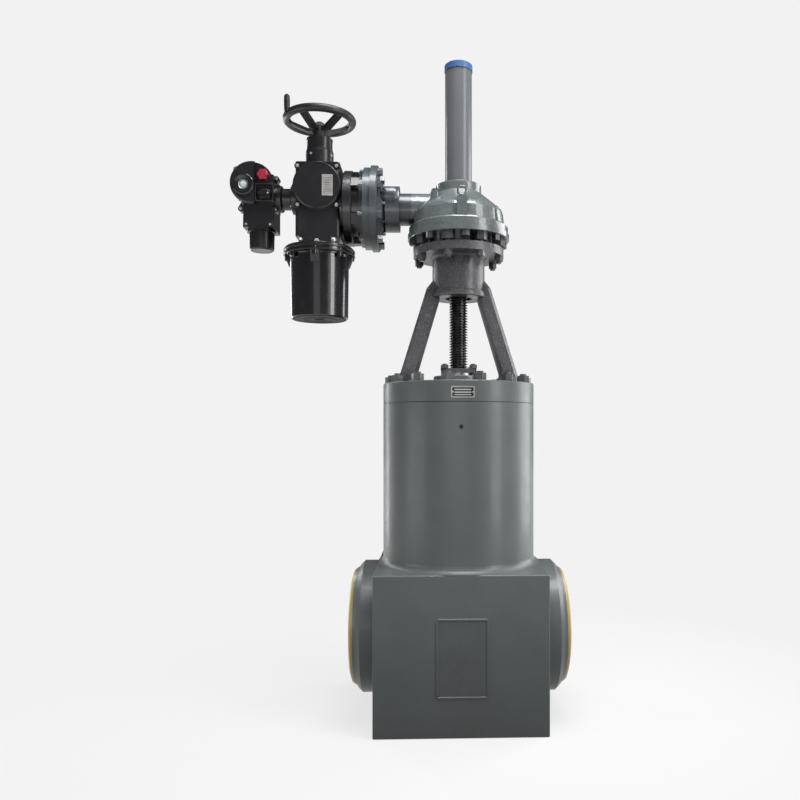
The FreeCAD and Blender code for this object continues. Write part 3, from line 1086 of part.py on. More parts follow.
# ---------------------------------------------------------------- checks and output
doc.recompute()
for thing in doc.Objects:
    if "Invalid" in thing.State or "Error" in thing.State:
        raise RuntimeError(f"{thing.Label} failed: {thing.State}")
for thing in NODES:
    if thing.Shape.isNull() or not thing.Shape.isValid():
        raise RuntimeError(f"{thing.Label} has no valid shape")
os.makedirs("parts", exist_ok=True)
for thing in NODES:
    thing.Shape.exportStep(f"parts/{thing.Label}.step")
print(len(NODES), "pieces,", sum(len(thing.Shape.Solids) for thing in NODES), "solids")
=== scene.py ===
"""Dresses the motor-driven forged gate valve and sets up its picture.

Lengths are in metres and +Z is up. The stem axis is Z, the pipe runs along X and the
front of the valve looks along -Y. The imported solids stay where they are; this script
gives them their finishes and adds the thread, the small screws, the plates and the
cast pad that sit on them.
"""

import logging
import math
from dataclasses import dataclass, field
from enum import Enum
from typing import Any, ClassVar, Iterable, Sequence

import bmesh
import bpy
from mathutils import Matrix, Vector

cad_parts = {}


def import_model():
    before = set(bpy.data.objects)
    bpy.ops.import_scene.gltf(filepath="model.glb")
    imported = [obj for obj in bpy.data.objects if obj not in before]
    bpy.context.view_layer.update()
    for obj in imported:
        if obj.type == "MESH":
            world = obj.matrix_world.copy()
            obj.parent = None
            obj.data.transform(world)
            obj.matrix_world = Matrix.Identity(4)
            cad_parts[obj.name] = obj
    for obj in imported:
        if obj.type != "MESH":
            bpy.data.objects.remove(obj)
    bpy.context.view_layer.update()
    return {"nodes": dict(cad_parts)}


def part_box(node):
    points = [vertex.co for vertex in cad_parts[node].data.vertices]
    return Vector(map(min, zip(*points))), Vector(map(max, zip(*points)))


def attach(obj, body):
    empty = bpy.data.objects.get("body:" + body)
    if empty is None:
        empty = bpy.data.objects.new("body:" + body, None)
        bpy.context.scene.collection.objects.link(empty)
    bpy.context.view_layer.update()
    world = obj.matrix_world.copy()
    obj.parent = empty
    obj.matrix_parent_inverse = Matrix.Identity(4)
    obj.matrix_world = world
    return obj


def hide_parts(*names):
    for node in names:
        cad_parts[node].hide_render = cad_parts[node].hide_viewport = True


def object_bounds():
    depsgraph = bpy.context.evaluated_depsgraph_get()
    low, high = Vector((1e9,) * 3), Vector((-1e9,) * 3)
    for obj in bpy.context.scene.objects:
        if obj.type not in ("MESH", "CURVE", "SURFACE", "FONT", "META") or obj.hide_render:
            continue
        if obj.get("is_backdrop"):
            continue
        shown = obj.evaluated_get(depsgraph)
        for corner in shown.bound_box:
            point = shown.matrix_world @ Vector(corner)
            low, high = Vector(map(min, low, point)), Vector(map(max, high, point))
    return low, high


LOG = logging.getLogger("gate_valve")
Material = bpy.types.Material
Mesh = bmesh.types.BMesh
Thing = bpy.types.Object
Tree = bpy.types.NodeTree
Colour = tuple[float, float, float]
Pair = tuple[float, float]
Point = tuple[float, float, float]

UP: Point = (0.0, 0.0, 1.0)
FRONT: Point = (0.0, -1.0, 0.0)
LEFT: Point = (-1.0, 0.0, 0.0)
ORIGIN: Point = (0.0, 0.0, 0.0)
SIDES = (-1, 1)
CORNERS = ((-1, -1), (-1, 1), (1, -1), (1, 1))
SLANT = math.sqrt(0.5)


def tone(*display: int) -> Colour:
    """Turn a display colour, each part from 0 to 255, into the linear one of shaders."""
    shares = [part / 255 for part in display]
    return tuple(share / 12.92 if share <= 0.04045 else ((share + 0.055) / 1.055) ** 2.4
                 for share in shares)


# ------------------------------------------------------------------ shader groups
def added(tree: Tree, kind: str, feeds: dict[str | int, Any] | None = None,
          **settings: Any) -> bpy.types.Node:
    """Add a node, set it up and feed its inputs.

    Args:
        tree: The tree that receives it.
        kind: The node's type, without the leading "ShaderNode".
        feeds: Input names or numbers, each with its value or the socket that feeds it.
        settings: The node's own properties.

    Returns:
        The new node.
    """
    node = tree.nodes.new(kind if kind.startswith("NodeGroup") else f"ShaderNode{kind}")
    for name, setting in settings.items():
        setattr(node, name, setting)
    for name, value in (feeds or {}).items():
        socket = node.inputs[name]
        if isinstance(value, bpy.types.NodeSocket):
            tree.links.new(value, socket)
        else:
            socket.default_value = (*value, 1.0) if socket.type == "RGBA" else value
    return node


def axis_part(tree: Tree, vector: Any, axis: str) -> Any:
    """Return the socket of one axis, X, Y or Z, of a vector socket."""
    return added(tree, "SeparateXYZ", {0: vector}).outputs[axis]


def here(tree: Tree) -> Any:
    """Return a socket with the object coordinates."""
    return added(tree, "TexCoord").outputs["Object"]


def ranged(tree: Tree, source: Any, low: Any, high: Any, clip: Pair) -> Any:
    """Return a socket that spreads a value's clipped range between two ends or sockets."""
    return added(tree, "MapRange", {"Value": source, "From Min": clip[0], "From Max": clip[1],
                                    "To Min": low, "To Max": high}).outputs["Result"]


def mixed(tree: Tree, share: Any, first: Any, second: Any) -> Any:
    """Return a socket that mixes two colours or colour sockets by a share."""
    return added(tree, "Mix", {0: share, 6: first, 7: second}, data_type="RGBA").outputs[2]


def joined(tree: Tree, operation: str, first: Any, *others: Any) -> Any:
    """Return a socket that joins values or value sockets by a maths operation in turn."""
    for other in others:
        first = added(tree, "Math", {0: first, 1: other}, operation=operation).outputs[0]
    return first


@dataclass(frozen=True)
class Patches:
    """Patches of noise that vary one value of a shared effect.

    Attributes:
        scale: How many patches there are in a metre.
        detail: How many finer layers they have.
        high: Highest result, a number or the name of the group's input.
        low: Lowest result, in the same way.
        clip: The part of the noise's range in use.
        stretch: How much each axis is scaled first.
    """

    scale: float
    detail: float
    high: float | str = 1.0
    low: float | str = 0.0
    clip: Pair = (0.3, 0.7)
    stretch: Point = (1.0, 1.0, 1.0)

    def spread(self, tree: Tree, ins: Any) -> Any:
        """Build the patches in a group.

        Args:
            tree: The group's tree.
            ins: The sockets that hold the group's inputs.

        Returns:
            The varied value's socket.
        """
        turn = added(tree, "Mapping", {"Vector": ins["Vector"], "Scale": self.stretch})
        noise = added(tree, "TexNoise", {"Vector": turn.outputs[0], "Scale": self.scale,
                                         "Detail": self.detail})
        low, high = (ins[end] if isinstance(end, str) else end for end in (self.low, self.high))
        return ranged(tree, noise.outputs["Fac"], low, high, self.clip)


@dataclass(frozen=True)
class Recipe:
    """What a shared effect is made of.

    Attributes:
        name: The node group's name.
        base: Name of the main colour's input.
        layers: Names of the further colours with the patches where they show.
        amounts: Names and defaults of the number inputs, the two roughnesses first.
        rough: Patches of the roughness.
        heights: Patches that add up to the height.
    """

    name: str
    base: str
    layers: dict[str, Patches]
    amounts: dict[str, float]
    rough: Patches
    heights: tuple[Patches, ...]

    def inputs(self) -> tuple[str, ...]:
        """Return the names of the colour inputs and then of the number inputs."""
        return self.base, *self.layers, *self.amounts

    def build(self) -> Tree:
        """Make the node group with its sockets.

        Returns:
            The finished group.
        """
        tree = bpy.data.node_groups.new(self.name, "ShaderNodeTree")
        kinds = {"Vector": "Vector", **dict.fromkeys(self.inputs(), "Color"),
                 **dict.fromkeys(self.amounts, "Float")}
        for name, kind in kinds.items():
            socket = tree.interface.new_socket(name, in_out="INPUT",
                                               socket_type=f"NodeSocket{kind}")
            if name in self.amounts:
                socket.default_value = self.amounts[name]
        for name, kind in (("Colour", "Color"), ("Roughness", "Float"), ("Height", "Float")):
            tree.interface.new_socket(name, in_out="OUTPUT", socket_type=f"NodeSocket{kind}")
        ins = added(tree, "NodeGroupInput").outputs
        colour = ins[self.base]
        for name, patches in self.layers.items():
            colour = mixed(tree, patches.spread(tree, ins), colour, ins[name])
        heights = [patches.spread(tree, ins) for patches in self.heights]
        added(tree, "NodeGroupOutput", {
            "Colour": colour, "Roughness": self.rough.spread(tree, ins),
            "Height": joined(tree, "ADD", *heights)})
        return tree


class Effect(Enum):
    """The shared surface effects: sprayed paint, machined metal and a film of old grease."""

    SPRAYED = Recipe(
        "sprayed_coat", "Paint",
        {"Drift": Patches(5.5, 4), "Dust": Patches(130, 6, "Dustiness", clip=(0.52, 0.68))},
        {"Smooth": 0.3, "Dull": 0.45, "Dustiness": 0.15, "Peel": 0.4, "Cast": 0.2},
        Patches(19, 5, "Dull", "Smooth"), (Patches(260, 2, "Peel"), Patches(46, 5, "Cast")))
    MACHINED = Recipe(
        "machined_grain", "Metal", {"Stain": Patches(34, 6, clip=(0.42, 0.72))},
        {"Smooth": 0.22, "Dull": 0.42, "Lines": 0.3}, Patches(90, 5, "Dull", "Smooth"),
        (Patches(60, 3, "Lines", stretch=(1.0, 1.0, 26.0)),))
    GREASED = Recipe(
        "greased_film", "Steel", {"Grease": Patches(24, 5, clip=(0.4, 0.56))},
        {"Wet": 0.12, "Dry": 0.5, "Ridges": 0.4}, Patches(70, 4, "Dry", "Wet"),
        (Patches(110, 3, "Ridges"),))


class EffectShop:
    """Builds each shared effect once and places it in materials."""

    def __init__(self) -> None:
        """Start with no group made."""
        self.groups: dict[Effect, Tree] = {}

    def place(self, tree: Tree, effect: Effect, values: Sequence[Any]) -> Any:
        """Put an effect into a material and set its inputs.

        Args:
            tree: The material's node tree.
            effect: The effect to place, whose group is made when first asked for.
            values: The values of its first inputs, in the recipe's order.

        Returns:
            The outputs of the placed group, which is fed with object coordinates.
        """
        if effect not in self.groups:
            self.groups[effect] = effect.value.build()
        feeds = {"Vector": here(tree), **dict(zip(effect.value.inputs(), values))}
        return added(tree, "Group", feeds, node_tree=self.groups[effect]).outputs


# ------------------------------------------------------------------ finishes
@dataclass(frozen=True)
class Finish:
    """One finish of the valve, made with a shared effect.

    Attributes:
        name: The material's name.
        shades: Its display colours, in the order of the effect's colour inputs.
        rough: Lowest and highest roughness.
        metallic: 1 for bare metal, less for plated metal and 0 for paint or plastic.
        coat: Weight of the clear layer on top.
        coat_rough: Roughness of that layer.
        bump: Depth of the height that the effect gives, in metres.
        effect: The effect that varies the surface.
    """

    name: str
    shades: tuple[tuple[int, int, int], ...]
    rough: Pair
    metallic: float = 0.0
    coat: float = 0.0
    coat_rough: float = 0.1
    bump: float = 0.0002
    effect: ClassVar[Effect]

    def values(self) -> list[Any]:
        """Return the values of the effect's inputs, in their order."""
        return [*(tone(*shade) for shade in self.shades), *self.rough]

    def with_painted_shade(self, tree: Tree, colour: Any) -> Any:
        """Return the socket of the colour with its painted shade, which a plain finish hasn't.
        """
        return colour

    def build(self, shop: EffectShop) -> Material:
        """Make the material.

        Args:
            shop: Where the shared effects come from.

        Returns:
            The material.
        """
        material = bpy.data.materials.new(self.name)
        material.use_nodes = True
        tree = material.node_tree
        shader = tree.nodes["Principled BSDF"]
        for name, value in (("Metallic", self.metallic), ("Coat Weight", self.coat),
                            ("Coat Roughness", self.coat_rough)):
            shader.inputs[name].default_value = value
        effect = shop.place(tree, self.effect, self.values())
        bump = added(tree, "Bump", {"Distance": self.bump, "Height": effect["Height"]})
        # The base colour may carry painted shade in corners, on undersides and near the floor.
        for socket, name in ((self.with_painted_shade(tree, effect["Colour"]), "Base Color"),
                             (effect["Roughness"], "Roughness"),
                             (bump.outputs["Normal"], "Normal")):
            tree.links.new(socket, shader.inputs[name])
        return material


@dataclass(frozen=True)
class Sprayed(Finish):
    """Sprayed paint or moulded plastic in a main colour, a drift colour and a dust colour.

    Attributes:
        dust: How strong the specks of dust are.
        peel: Share of orange peel in the height.
        cast: Share of the coarser casting skin in the height.
        corners: How much painted shade darkens it in corners, where little open sky is found.
        undersides: How much painted shade darkens it on faces that look down.
        foot: How much darker the painted shade makes it at the floor than half a metre up.
        nook: How far the painted shade of corners reaches.
        open_sky: Shares of open sky between which the painted shade of corners fades out.
        tilt: The normal's Z between which the painted shade of undersides fades out.
        rise: Heights between which the painted shade near the floor fades out.
    """

    dust: float = 0.12
    peel: float = 0.4
    cast: float = 0.15
    corners: float = 0.0
    undersides: float = 0.0
    foot: float = 0.0
    nook: ClassVar[float] = 0.06
    open_sky: ClassVar[Pair] = (0.25, 0.85)
    tilt: ClassVar[Pair] = (-0.85, -0.35)
    rise: ClassVar[Pair] = (-0.02, 0.55)
    effect = Effect.SPRAYED

    def values(self) -> list[Any]:
        """Return the values of the effect's inputs, in their order."""
        return [*super().values(), self.dust, self.peel, self.cast]

    def with_painted_shade(self, tree: Tree, colour: Any) -> Any:
        """Paint shade into a colour, darkening it in corners, on undersides and near the floor.

        Args:
            tree: The material's tree.
            colour: The socket of the colour before the painted shade.

        Returns:
            The shaded colour's socket, or the unchanged one where no painted shade is asked
            for.
        """
        if not (self.corners or self.undersides or self.foot):
            return colour
        # Painted shade: ambient occlusion darkens corners, a downward normal darkens undersides
        # and a low height darkens the colour near the floor.
        nook = added(tree, "AmbientOcclusion", {"Distance": self.nook}, samples=4)
        facing = added(tree, "NewGeometry").outputs["Normal"]
        for source, shade_depth, clip in (
                (nook.outputs["AO"], self.corners, self.open_sky),
                (axis_part(tree, facing, "Z"), self.undersides, self.tilt),
                (axis_part(tree, here(tree), "Z"), self.foot, self.rise)):
            shade = ranged(tree, source, 1 - shade_depth, 1.0, clip)
            colour = added(tree, "VectorMath", {0: colour, "Scale": shade},
                           operation="SCALE").outputs[0]
        return colour


@dataclass(frozen=True)
class Machined(Finish):
    """Machined or plated metal in a main colour and a stain colour.

    Attributes:
        lines: Strength of the tool lines.
    """

    metallic: float = 1.0
    bump: float = 0.0001
    lines: float = 0.3
    effect = Effect.MACHINED

    def values(self) -> list[Any]:
        """Return the values of the effect's inputs, in their order."""
        return [*super().values(), self.lines]


@dataclass(frozen=True)
class Greased(Finish):
    """Greased steel in the steel's colour and the grease's colour.

    Attributes:
        ridges: Strength of the soft ridges.
    """

    ridges: float = 0.5
    effect = Effect.GREASED

    def values(self) -> list[Any]:
        """Return the values of the effect's inputs, in their order."""
        return [*super().values(), self.ridges]


class Coat(Enum):
    """The finishes of the valve's pieces."""

    # The corners, undersides and foot amounts below paint shade into the colour.
    FORGED = Sprayed("forged_body_paint", ((95, 100, 101), (88, 93, 93), (116, 122, 121)),
                     (0.36, 0.48), coat=0.14, coat_rough=0.16, dust=0.03, peel=0.3, cast=0.1,
                     foot=0.62)
    PAD = Sprayed("cast_pad_paint", ((88, 92, 93), (78, 82, 84), (112, 117, 116)),
                  (0.34, 0.5), coat=0.1, bump=0.0004, dust=0.1, cast=0.8, corners=0.3,
                  foot=0.62)
    CASTING = Sprayed("cast_yoke_paint", ((84, 82, 85), (70, 68, 72), (150, 150, 152)),
                      (0.26, 0.5), coat=0.25, bump=0.0012, dust=0.35, cast=1.0, corners=0.6,
                      undersides=0.45)
    GEARCASE = Sprayed("gearcase_paint", ((104, 112, 112), (92, 99, 99), (150, 154, 154)),
                       (0.18, 0.34), coat=0.7, coat_rough=0.06, bump=0.0016, peel=0.08,
                       cast=0.7, corners=0.6, undersides=0.45)
    FASTENER = Sprayed("painted_nuts", ((86, 89, 90), (70, 73, 74), (126, 128, 128)),
                       (0.3, 0.5), coat=0.15, bump=0.0003, dust=0.3, cast=0.4, corners=0.55,
                       undersides=0.35)
    ENAMEL = Sprayed("black_enamel", ((28, 28, 31), (23, 23, 26), (48, 48, 52)),
                     (0.28, 0.42), coat=0.3, dust=0.1, peel=0.5, cast=0.3, corners=0.5)
    GLOSS = Sprayed("gloss_black_enamel", ((30, 29, 32), (25, 24, 27), (48, 47, 52)),
                    (0.18, 0.28), coat=0.7, coat_rough=0.05, bump=0.00012, dust=0.05, peel=0.3,
                    cast=0.08)
    WHEEL = Sprayed("handwheel_enamel", ((20, 20, 21), (15, 15, 16), (48, 48, 50)),
                    (0.38, 0.55), coat=0.1, bump=0.0003, dust=0.15, cast=0.5)
    BLUE = Sprayed("blue_cap", ((66, 104, 156), (56, 92, 142), (96, 130, 172)),
                   (0.35, 0.45), coat=0.15, dust=0.1, peel=0.3, cast=0.1)
    RED = Sprayed("red_knob", ((172, 42, 62), (138, 28, 46), (206, 92, 106)),
                  (0.24, 0.38), coat=0.4, dust=0.2, peel=0.3, cast=0.1)
    KNOB = Sprayed("black_knob", ((24, 24, 25), (19, 19, 20), (44, 44, 46)),
                   (0.32, 0.45), coat=0.2, dust=0.1, cast=0.2)
    PRINT = Sprayed("white_print", ((214, 216, 216), (200, 202, 202), (180, 182, 182)),
                    (0.4, 0.5), dust=0.1, peel=0.2, cast=0.1)
    FIELD = Sprayed("plate_field", ((28, 28, 30), (22, 22, 24), (60, 60, 62)),
                    (0.3, 0.4), coat=0.2, dust=0.1, peel=0.2, cast=0.1)
    GOLD = Sprayed("weld_land_lacquer", ((176, 152, 74), (150, 128, 62), (196, 178, 110)),
                   (0.3, 0.45), coat=0.3, dust=0.2, peel=0.3, cast=0.2)
    LENS = Sprayed("pearl_lens", ((214, 220, 222), (176, 184, 188), (236, 240, 240)),
                   (0.06, 0.14), coat=0.8, coat_rough=0.04, bump=0.0001, dust=0.3, peel=0.1,
                   cast=0.05)
    MATT = Sprayed("matt_black_casting", ((25, 25, 26), (20, 20, 21), (42, 42, 44)),
                   (0.6, 0.75), bump=0.0004, dust=0.2, peel=0.5, cast=0.6)
    TUBE = Sprayed("stem_tube_paint", ((101, 103, 107), (98, 100, 104), (112, 114, 118)),
                   (0.3, 0.33), coat=0.12, bump=0.00005, dust=0.0, peel=0.04, cast=0.0)
    FLANGE = Sprayed("input_flange_paint", ((70, 77, 81), (60, 66, 70), (120, 126, 128)),
                     (0.24, 0.4), coat=0.35, bump=0.0004, cast=0.5, corners=0.6,
                     undersides=0.4)
    WINDING = Sprayed("stator_core", ((112, 76, 52), (88, 58, 40), (140, 110, 80)),
                      (0.45, 0.6), dust=0.2, cast=0.4)
    GRAPHITE = Sprayed("packing_graphite", ((56, 56, 58), (44, 44, 46), (80, 80, 82)),
                       (0.4, 0.55), dust=0.2, cast=0.3)
    ZINC = Machined("zinc_screws", ((214, 216, 218), (176, 178, 180)), (0.26, 0.42),
                    metallic=0.55)
    # Darker plated metal: on the input flange bolts and the drum bolts this darkness is painted
    # shade for bolts that sit in shade; on the lifting eye it is the steel's own darker colour.
    STUD = Machined("plated_studs", ((120, 122, 124), (84, 86, 88)), (0.24, 0.42),
                    metallic=0.6)
    PLATE = Machined("plate_metal", ((176, 174, 171), (150, 148, 145)), (0.34, 0.48),
                     metallic=0.3, lines=0.6)
    SHANK = Machined("polished_stem", ((150, 150, 149), (138, 137, 134)), (0.24, 0.32),
                     lines=0.02)
    GROUND = Machined("machined_steel", ((160, 160, 158), (120, 116, 108)), (0.2, 0.38))
    BRONZE = Machined("turned_bronze", ((186, 148, 84), (148, 108, 58)), (0.22, 0.4))
    GREASE = Greased("greased_thread", ((52, 52, 54), (20, 20, 22)), (0.16, 0.5),
                     metallic=0.55, coat=0.3, coat_rough=0.15, bump=0.0004)


class FinishShop:
    """Makes each finish once and puts it on nodes and pieces."""

    def __init__(self) -> None:
        """Start with no material made."""
        self.effects = EffectShop()
        self.made: dict[Coat, Material] = {}

    def coat(self, thing: Thing, coat: Coat) -> None:
        """Put a finish on a thing, made when first asked for.

        Args:
            thing: The object to dress.
            coat: Its finish.
        """
        if coat not in self.made:
            self.made[coat] = coat.value.build(self.effects)
        self.dress(thing, self.made[coat])

    @staticmethod
    def dress(thing: Thing, material: Material) -> None:
        """Put one material on all of a thing's slots.

        Args:
            thing: The object to dress.
            material: Its material.
        """
        if not thing.material_slots:
            thing.data.materials.append(material)
        for slot in thing.material_slots:
            slot.material = material

    def glass(self) -> Material:
        """Make the clear window glass with a faint dust film."""
        material = bpy.data.materials.new("window_glass")
        material.use_nodes = True
        tree = material.node_tree
        shader = tree.nodes["Principled BSDF"]
        shader.inputs["Transmission Weight"].default_value = 1.0
        shader.inputs["IOR"].default_value = 1.45
        film = self.effects.place(tree, Effect.SPRAYED, [
            (0.93, 0.95, 0.96), (0.88, 0.9, 0.92), (0.8, 0.8, 0.8), 0.02, 0.06])
        tree.links.new(film["Colour"], shader.inputs["Base Color"])
        tree.links.new(film["Roughness"], shader.inputs["Roughness"])
        return material

    def parted(self, name: str, base: Coat, guest: Coat, axis: str, edge: float,
               guest_past: bool) -> Material:
        """Make a finish that changes to another one at a distance from the origin.

        Args:
            name: The material's name.
            base: The finish that also gives the sheen.
            guest: The finish that takes over on one side of the edge.
            axis: The object axis along which the distance is measured.
            edge: The distance where they meet.
            guest_past: True where the guest lies past the edge, False where it lies before.

        Returns:
            The material.
        """
        material = base.value.build(self.effects)
        material.name = name
        tree = material.node_tree
        shader = tree.nodes["Principled BSDF"]
        height = shader.inputs["Normal"].links[0].from_node.inputs["Height"]
        other = self.effects.place(tree, guest.value.effect, guest.value.values())
        reach = added(tree, "Math", {0: axis_part(tree, here(tree), axis)},
                      operation="ABSOLUTE")
        past = joined(tree, "GREATER_THAN", reach.outputs[0], edge)
        for socket, output in ((shader.inputs["Base Color"], "Colour"),
                               (shader.inputs["Roughness"], "Roughness"), (height, "Height")):
            pair = [socket.links[0].from_socket, other[output]]
            if not guest_past:
                pair.reverse()
            tree.links.new(mixed(tree, past, *pair), socket)
        return material


# ------------------------------------------------------------------ mesh workshop
def spun(mesh: Mesh, profile: Sequence[Pair], steps: int = 48) -> list:
    """Spin a profile of radius and height about local Z and close its poles.

    Args:
        mesh: The mesh that receives it.
        profile: Radius and height of each point, in order.
        steps: How many steps make the full turn.

    Returns:
        The vertices that were made.
    """
    old = set(mesh.verts)
    line = [mesh.verts.new((radius, 0.0, level)) for radius, level in profile]
    edges = [mesh.edges.new(pair) for pair in zip(line, line[1:])]
    bmesh.ops.spin(mesh, geom=line + edges, cent=ORIGIN, axis=UP, angle=math.tau, steps=steps,
                   use_merge=True)
    made = [vert for vert in mesh.verts if vert not in old]
    bmesh.ops.remove_doubles(mesh, verts=made, dist=1e-6)
    return [vert for vert in mesh.verts if vert not in old]


def settled(mesh: Mesh, verts: Iterable, at: Point, direction: Point = UP,
            roll: float = 0.0) -> None:
    """Turn and move vertices from local Z to their place.

    Args:
        mesh: The mesh that holds them.
        verts: The vertices to place.
        at: Where their local origin goes.
        direction: Where their local +Z points.
        roll: Turn about that direction first, in radians.
    """
    turn = Vector(direction).to_track_quat("Z", "Y").to_matrix().to_4x4()
    place = Matrix.Translation(at) @ turn @ Matrix.Rotation(roll, 4, "Z")
    bmesh.ops.transform(mesh, matrix=place, verts=list(verts))


def softened(mesh: Mesh, geom: Sequence, offset: float, segments: int = 3,
             affect: str = "EDGES") -> list:
    """Round edges or corners.

    Args:
        mesh: The mesh that holds them.
        geom: The edges, or the vertices of flat corners.
        offset: Width of the rounding.
        segments: How many steps it has.
        affect: "EDGES" or "VERTICES".

    Returns:
        The faces that were made.
    """
    return bmesh.ops.bevel(mesh, geom=geom, offset=offset, segments=segments, profile=0.5,
                           affect=affect, material=-1)["faces"]


def block(mesh: Mesh, size: Point, at: Point = ORIGIN) -> list:
    """Add a block of a size at a centre and return its vertices."""
    verts = bmesh.ops.create_cube(mesh, size=1)["verts"]
    bmesh.ops.scale(mesh, verts=verts, vec=size)
    bmesh.ops.translate(mesh, verts=verts, vec=at)
    return verts


def leaning_block(mesh: Mesh, size: Point, end: int, lean: float, rounding: float,
                  place: Matrix) -> None:
    """Add a rounded block whose +X side leans in at one end.

    Args:
        mesh: The mesh that receives it.
        size: Its width on each axis.
        end: The end that leans, 1 for its top and -1 for its foot.
        lean: How far that end is drawn in.
        rounding: Width of its rounded edges.
        place: Its place in the row's frame.
    """
    verts = block(mesh, size)
    leaning = [vert for vert in verts if vert.co.z * end > 0 and vert.co.x > 0]
    bmesh.ops.translate(mesh, verts=leaning, vec=(-lean, 0, 0))
    faces = softened(mesh, list({edge for vert in verts for edge in vert.link_edges}), rounding)
    bmesh.ops.transform(mesh, matrix=place,
                        verts=list({vert for face in faces for vert in face.verts}))


def card(mesh: Mesh, size: Pair, corner: float, segments: int) -> None:
    """Add a flat rectangle with round corners.

    Args:
        mesh: The empty mesh that receives it.
        size: Its width and height.
        corner: Width of the round corners.
        segments: How many steps a corner has.
    """
    bmesh.ops.create_grid(mesh, x_segments=1, y_segments=1, size=0.5)
    bmesh.ops.scale(mesh, verts=mesh.verts, vec=(*size, 1))
    softened(mesh, list(mesh.verts), corner, segments, "VERTICES")


def lifted(mesh: Mesh, faces: Sequence, rise: float) -> list:
    """Draw faces out along local Z by a rise and return the faces at the top."""
    geom = bmesh.ops.extrude_face_region(mesh, geom=faces)["geom"]
    bmesh.ops.translate(mesh, vec=(0, 0, rise), verts=[
        part for part in geom if isinstance(part, bmesh.types.BMVert)])
    return [part for part in geom if isinstance(part, bmesh.types.BMFace)]


def screw_head(mesh: Mesh, width: float, tall: float, socket: bool) -> list:
    """Make a hexagon head on local Z, or a round head with a hexagon socket.

    Args:
        mesh: The mesh that receives it.
        width: Width across flats, or the round head's width.
        tall: Height of the head.
        socket: True for a round head with a socket.

    Returns:
        The vertices that were made.
    """
    old = set(mesh.verts)
    radius = width / 2 if socket else width / 2 / math.cos(math.pi / 6)
    made = bmesh.ops.create_cone(mesh, cap_ends=True, segments=24 if socket else 6,
                                 radius1=radius, radius2=radius, depth=tall)
    bmesh.ops.translate(mesh, verts=made["verts"], vec=(0, 0, tall / 2))

    def lids() -> list:
        """Return the head's faces that look up."""
        return [face for face in mesh.faces
                if face.verts[0] not in old and face.normal.z > 0.9]

    top = [face for face in lids() if face.calc_center_median().z > tall * 0.9]
    edge = tall * 0.12
    softened(mesh, list({rim for face in top for rim in face.edges}), edge, 2)
    if socket:
        lid = max(lids(), key=lambda face: face.calc_area())
        bmesh.ops.inset_region(mesh, faces=[lid], thickness=(radius - edge) - width / 4)
        lifted(mesh, [lid], -tall * 0.55)
        bmesh.ops.delete(mesh, geom=[lid], context="FACES_ONLY")
    return [vert for vert in mesh.verts if vert not in old]


@dataclass
class PieceShop:
    """Turns finished meshes into pieces that ride on a body.

    Attributes:
        finishes: Where the materials come from.
        crease: Angle past which an edge stays sharp, in degrees.
        made: The names of the pieces made so far.
    """

    finishes: FinishShop
    crease: float = 32.0
    made: list[str] = field(default_factory=list)

    def issue(self, mesh: Mesh, name: str, coat: Coat,
              body: str = "valve") -> Thing:
        """Close a mesh, dress it and let it ride on its body.

        Args:
            mesh: The finished mesh, in the row's frame.
            name: The piece's name.
            coat: Its finish.
            body: The body that carries it.

        Returns:
            The new object.
        """
        bmesh.ops.recalc_face_normals(mesh, faces=mesh.faces)
        limit = math.radians(self.crease)
        for edge in mesh.edges:
            edge.smooth = edge.is_manifold and edge.calc_face_angle(0) < limit
        for face in mesh.faces:
            face.smooth = True
        data = bpy.data.meshes.new(name)
        mesh.to_mesh(data)
        mesh.free()
        piece = bpy.data.objects.new(name, data)
        bpy.context.scene.collection.objects.link(piece)
        self.finishes.coat(piece, coat)
        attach(piece, body)
        self.made.append(name)
        LOG.info("made %s with %d faces", name, len(data.polygons))
        return piece

    def turned(self, name: str, coat: Coat, profile: Sequence[Pair],
               spots: Sequence[Point], direction: Point = UP, steps: int = 48) -> None:
        """Make a piece of one or more equal turned shapes.

        Args:
            name: The piece's name.
            coat: Its finish.
            profile: Radius and height of each point, in order.
            spots: Where the local origin of each shape goes.
            direction: Where their local +Z points.
            steps: How many steps make the full turn.
        """
        mesh = bmesh.new()
        for spot in spots:
            settled(mesh, spun(mesh, profile, steps), spot, direction)
        self.issue(mesh, name, coat)

    def screws(self, name: str, spots: Sequence[tuple[Point, Point]], width: float, tall: float,
               coat: Coat = Coat.ZINC, socket: bool = True) -> None:
        """Make a set of equal screw heads with their washers on the valve's fixed body.

        Args:
            name: The set's name.
            spots: The seat and the outward direction of each screw.
            width: Width of the head.
            tall: Height of the head.
            coat: Its finish.
            socket: True for round heads with a socket, False for hexagon heads.
        """
        mesh = bmesh.new()
        brim, thick = width * 0.72, tall * 0.16
        for number, (seat, direction) in enumerate(spots):
            washer = spun(mesh, [(0, 0), (brim, 0), (brim, thick), (0, thick)], 24)
            head = screw_head(mesh, width, tall, socket)
            settled(mesh, washer + head, seat, direction, 0.35 * number)
        self.issue(mesh, name, coat)


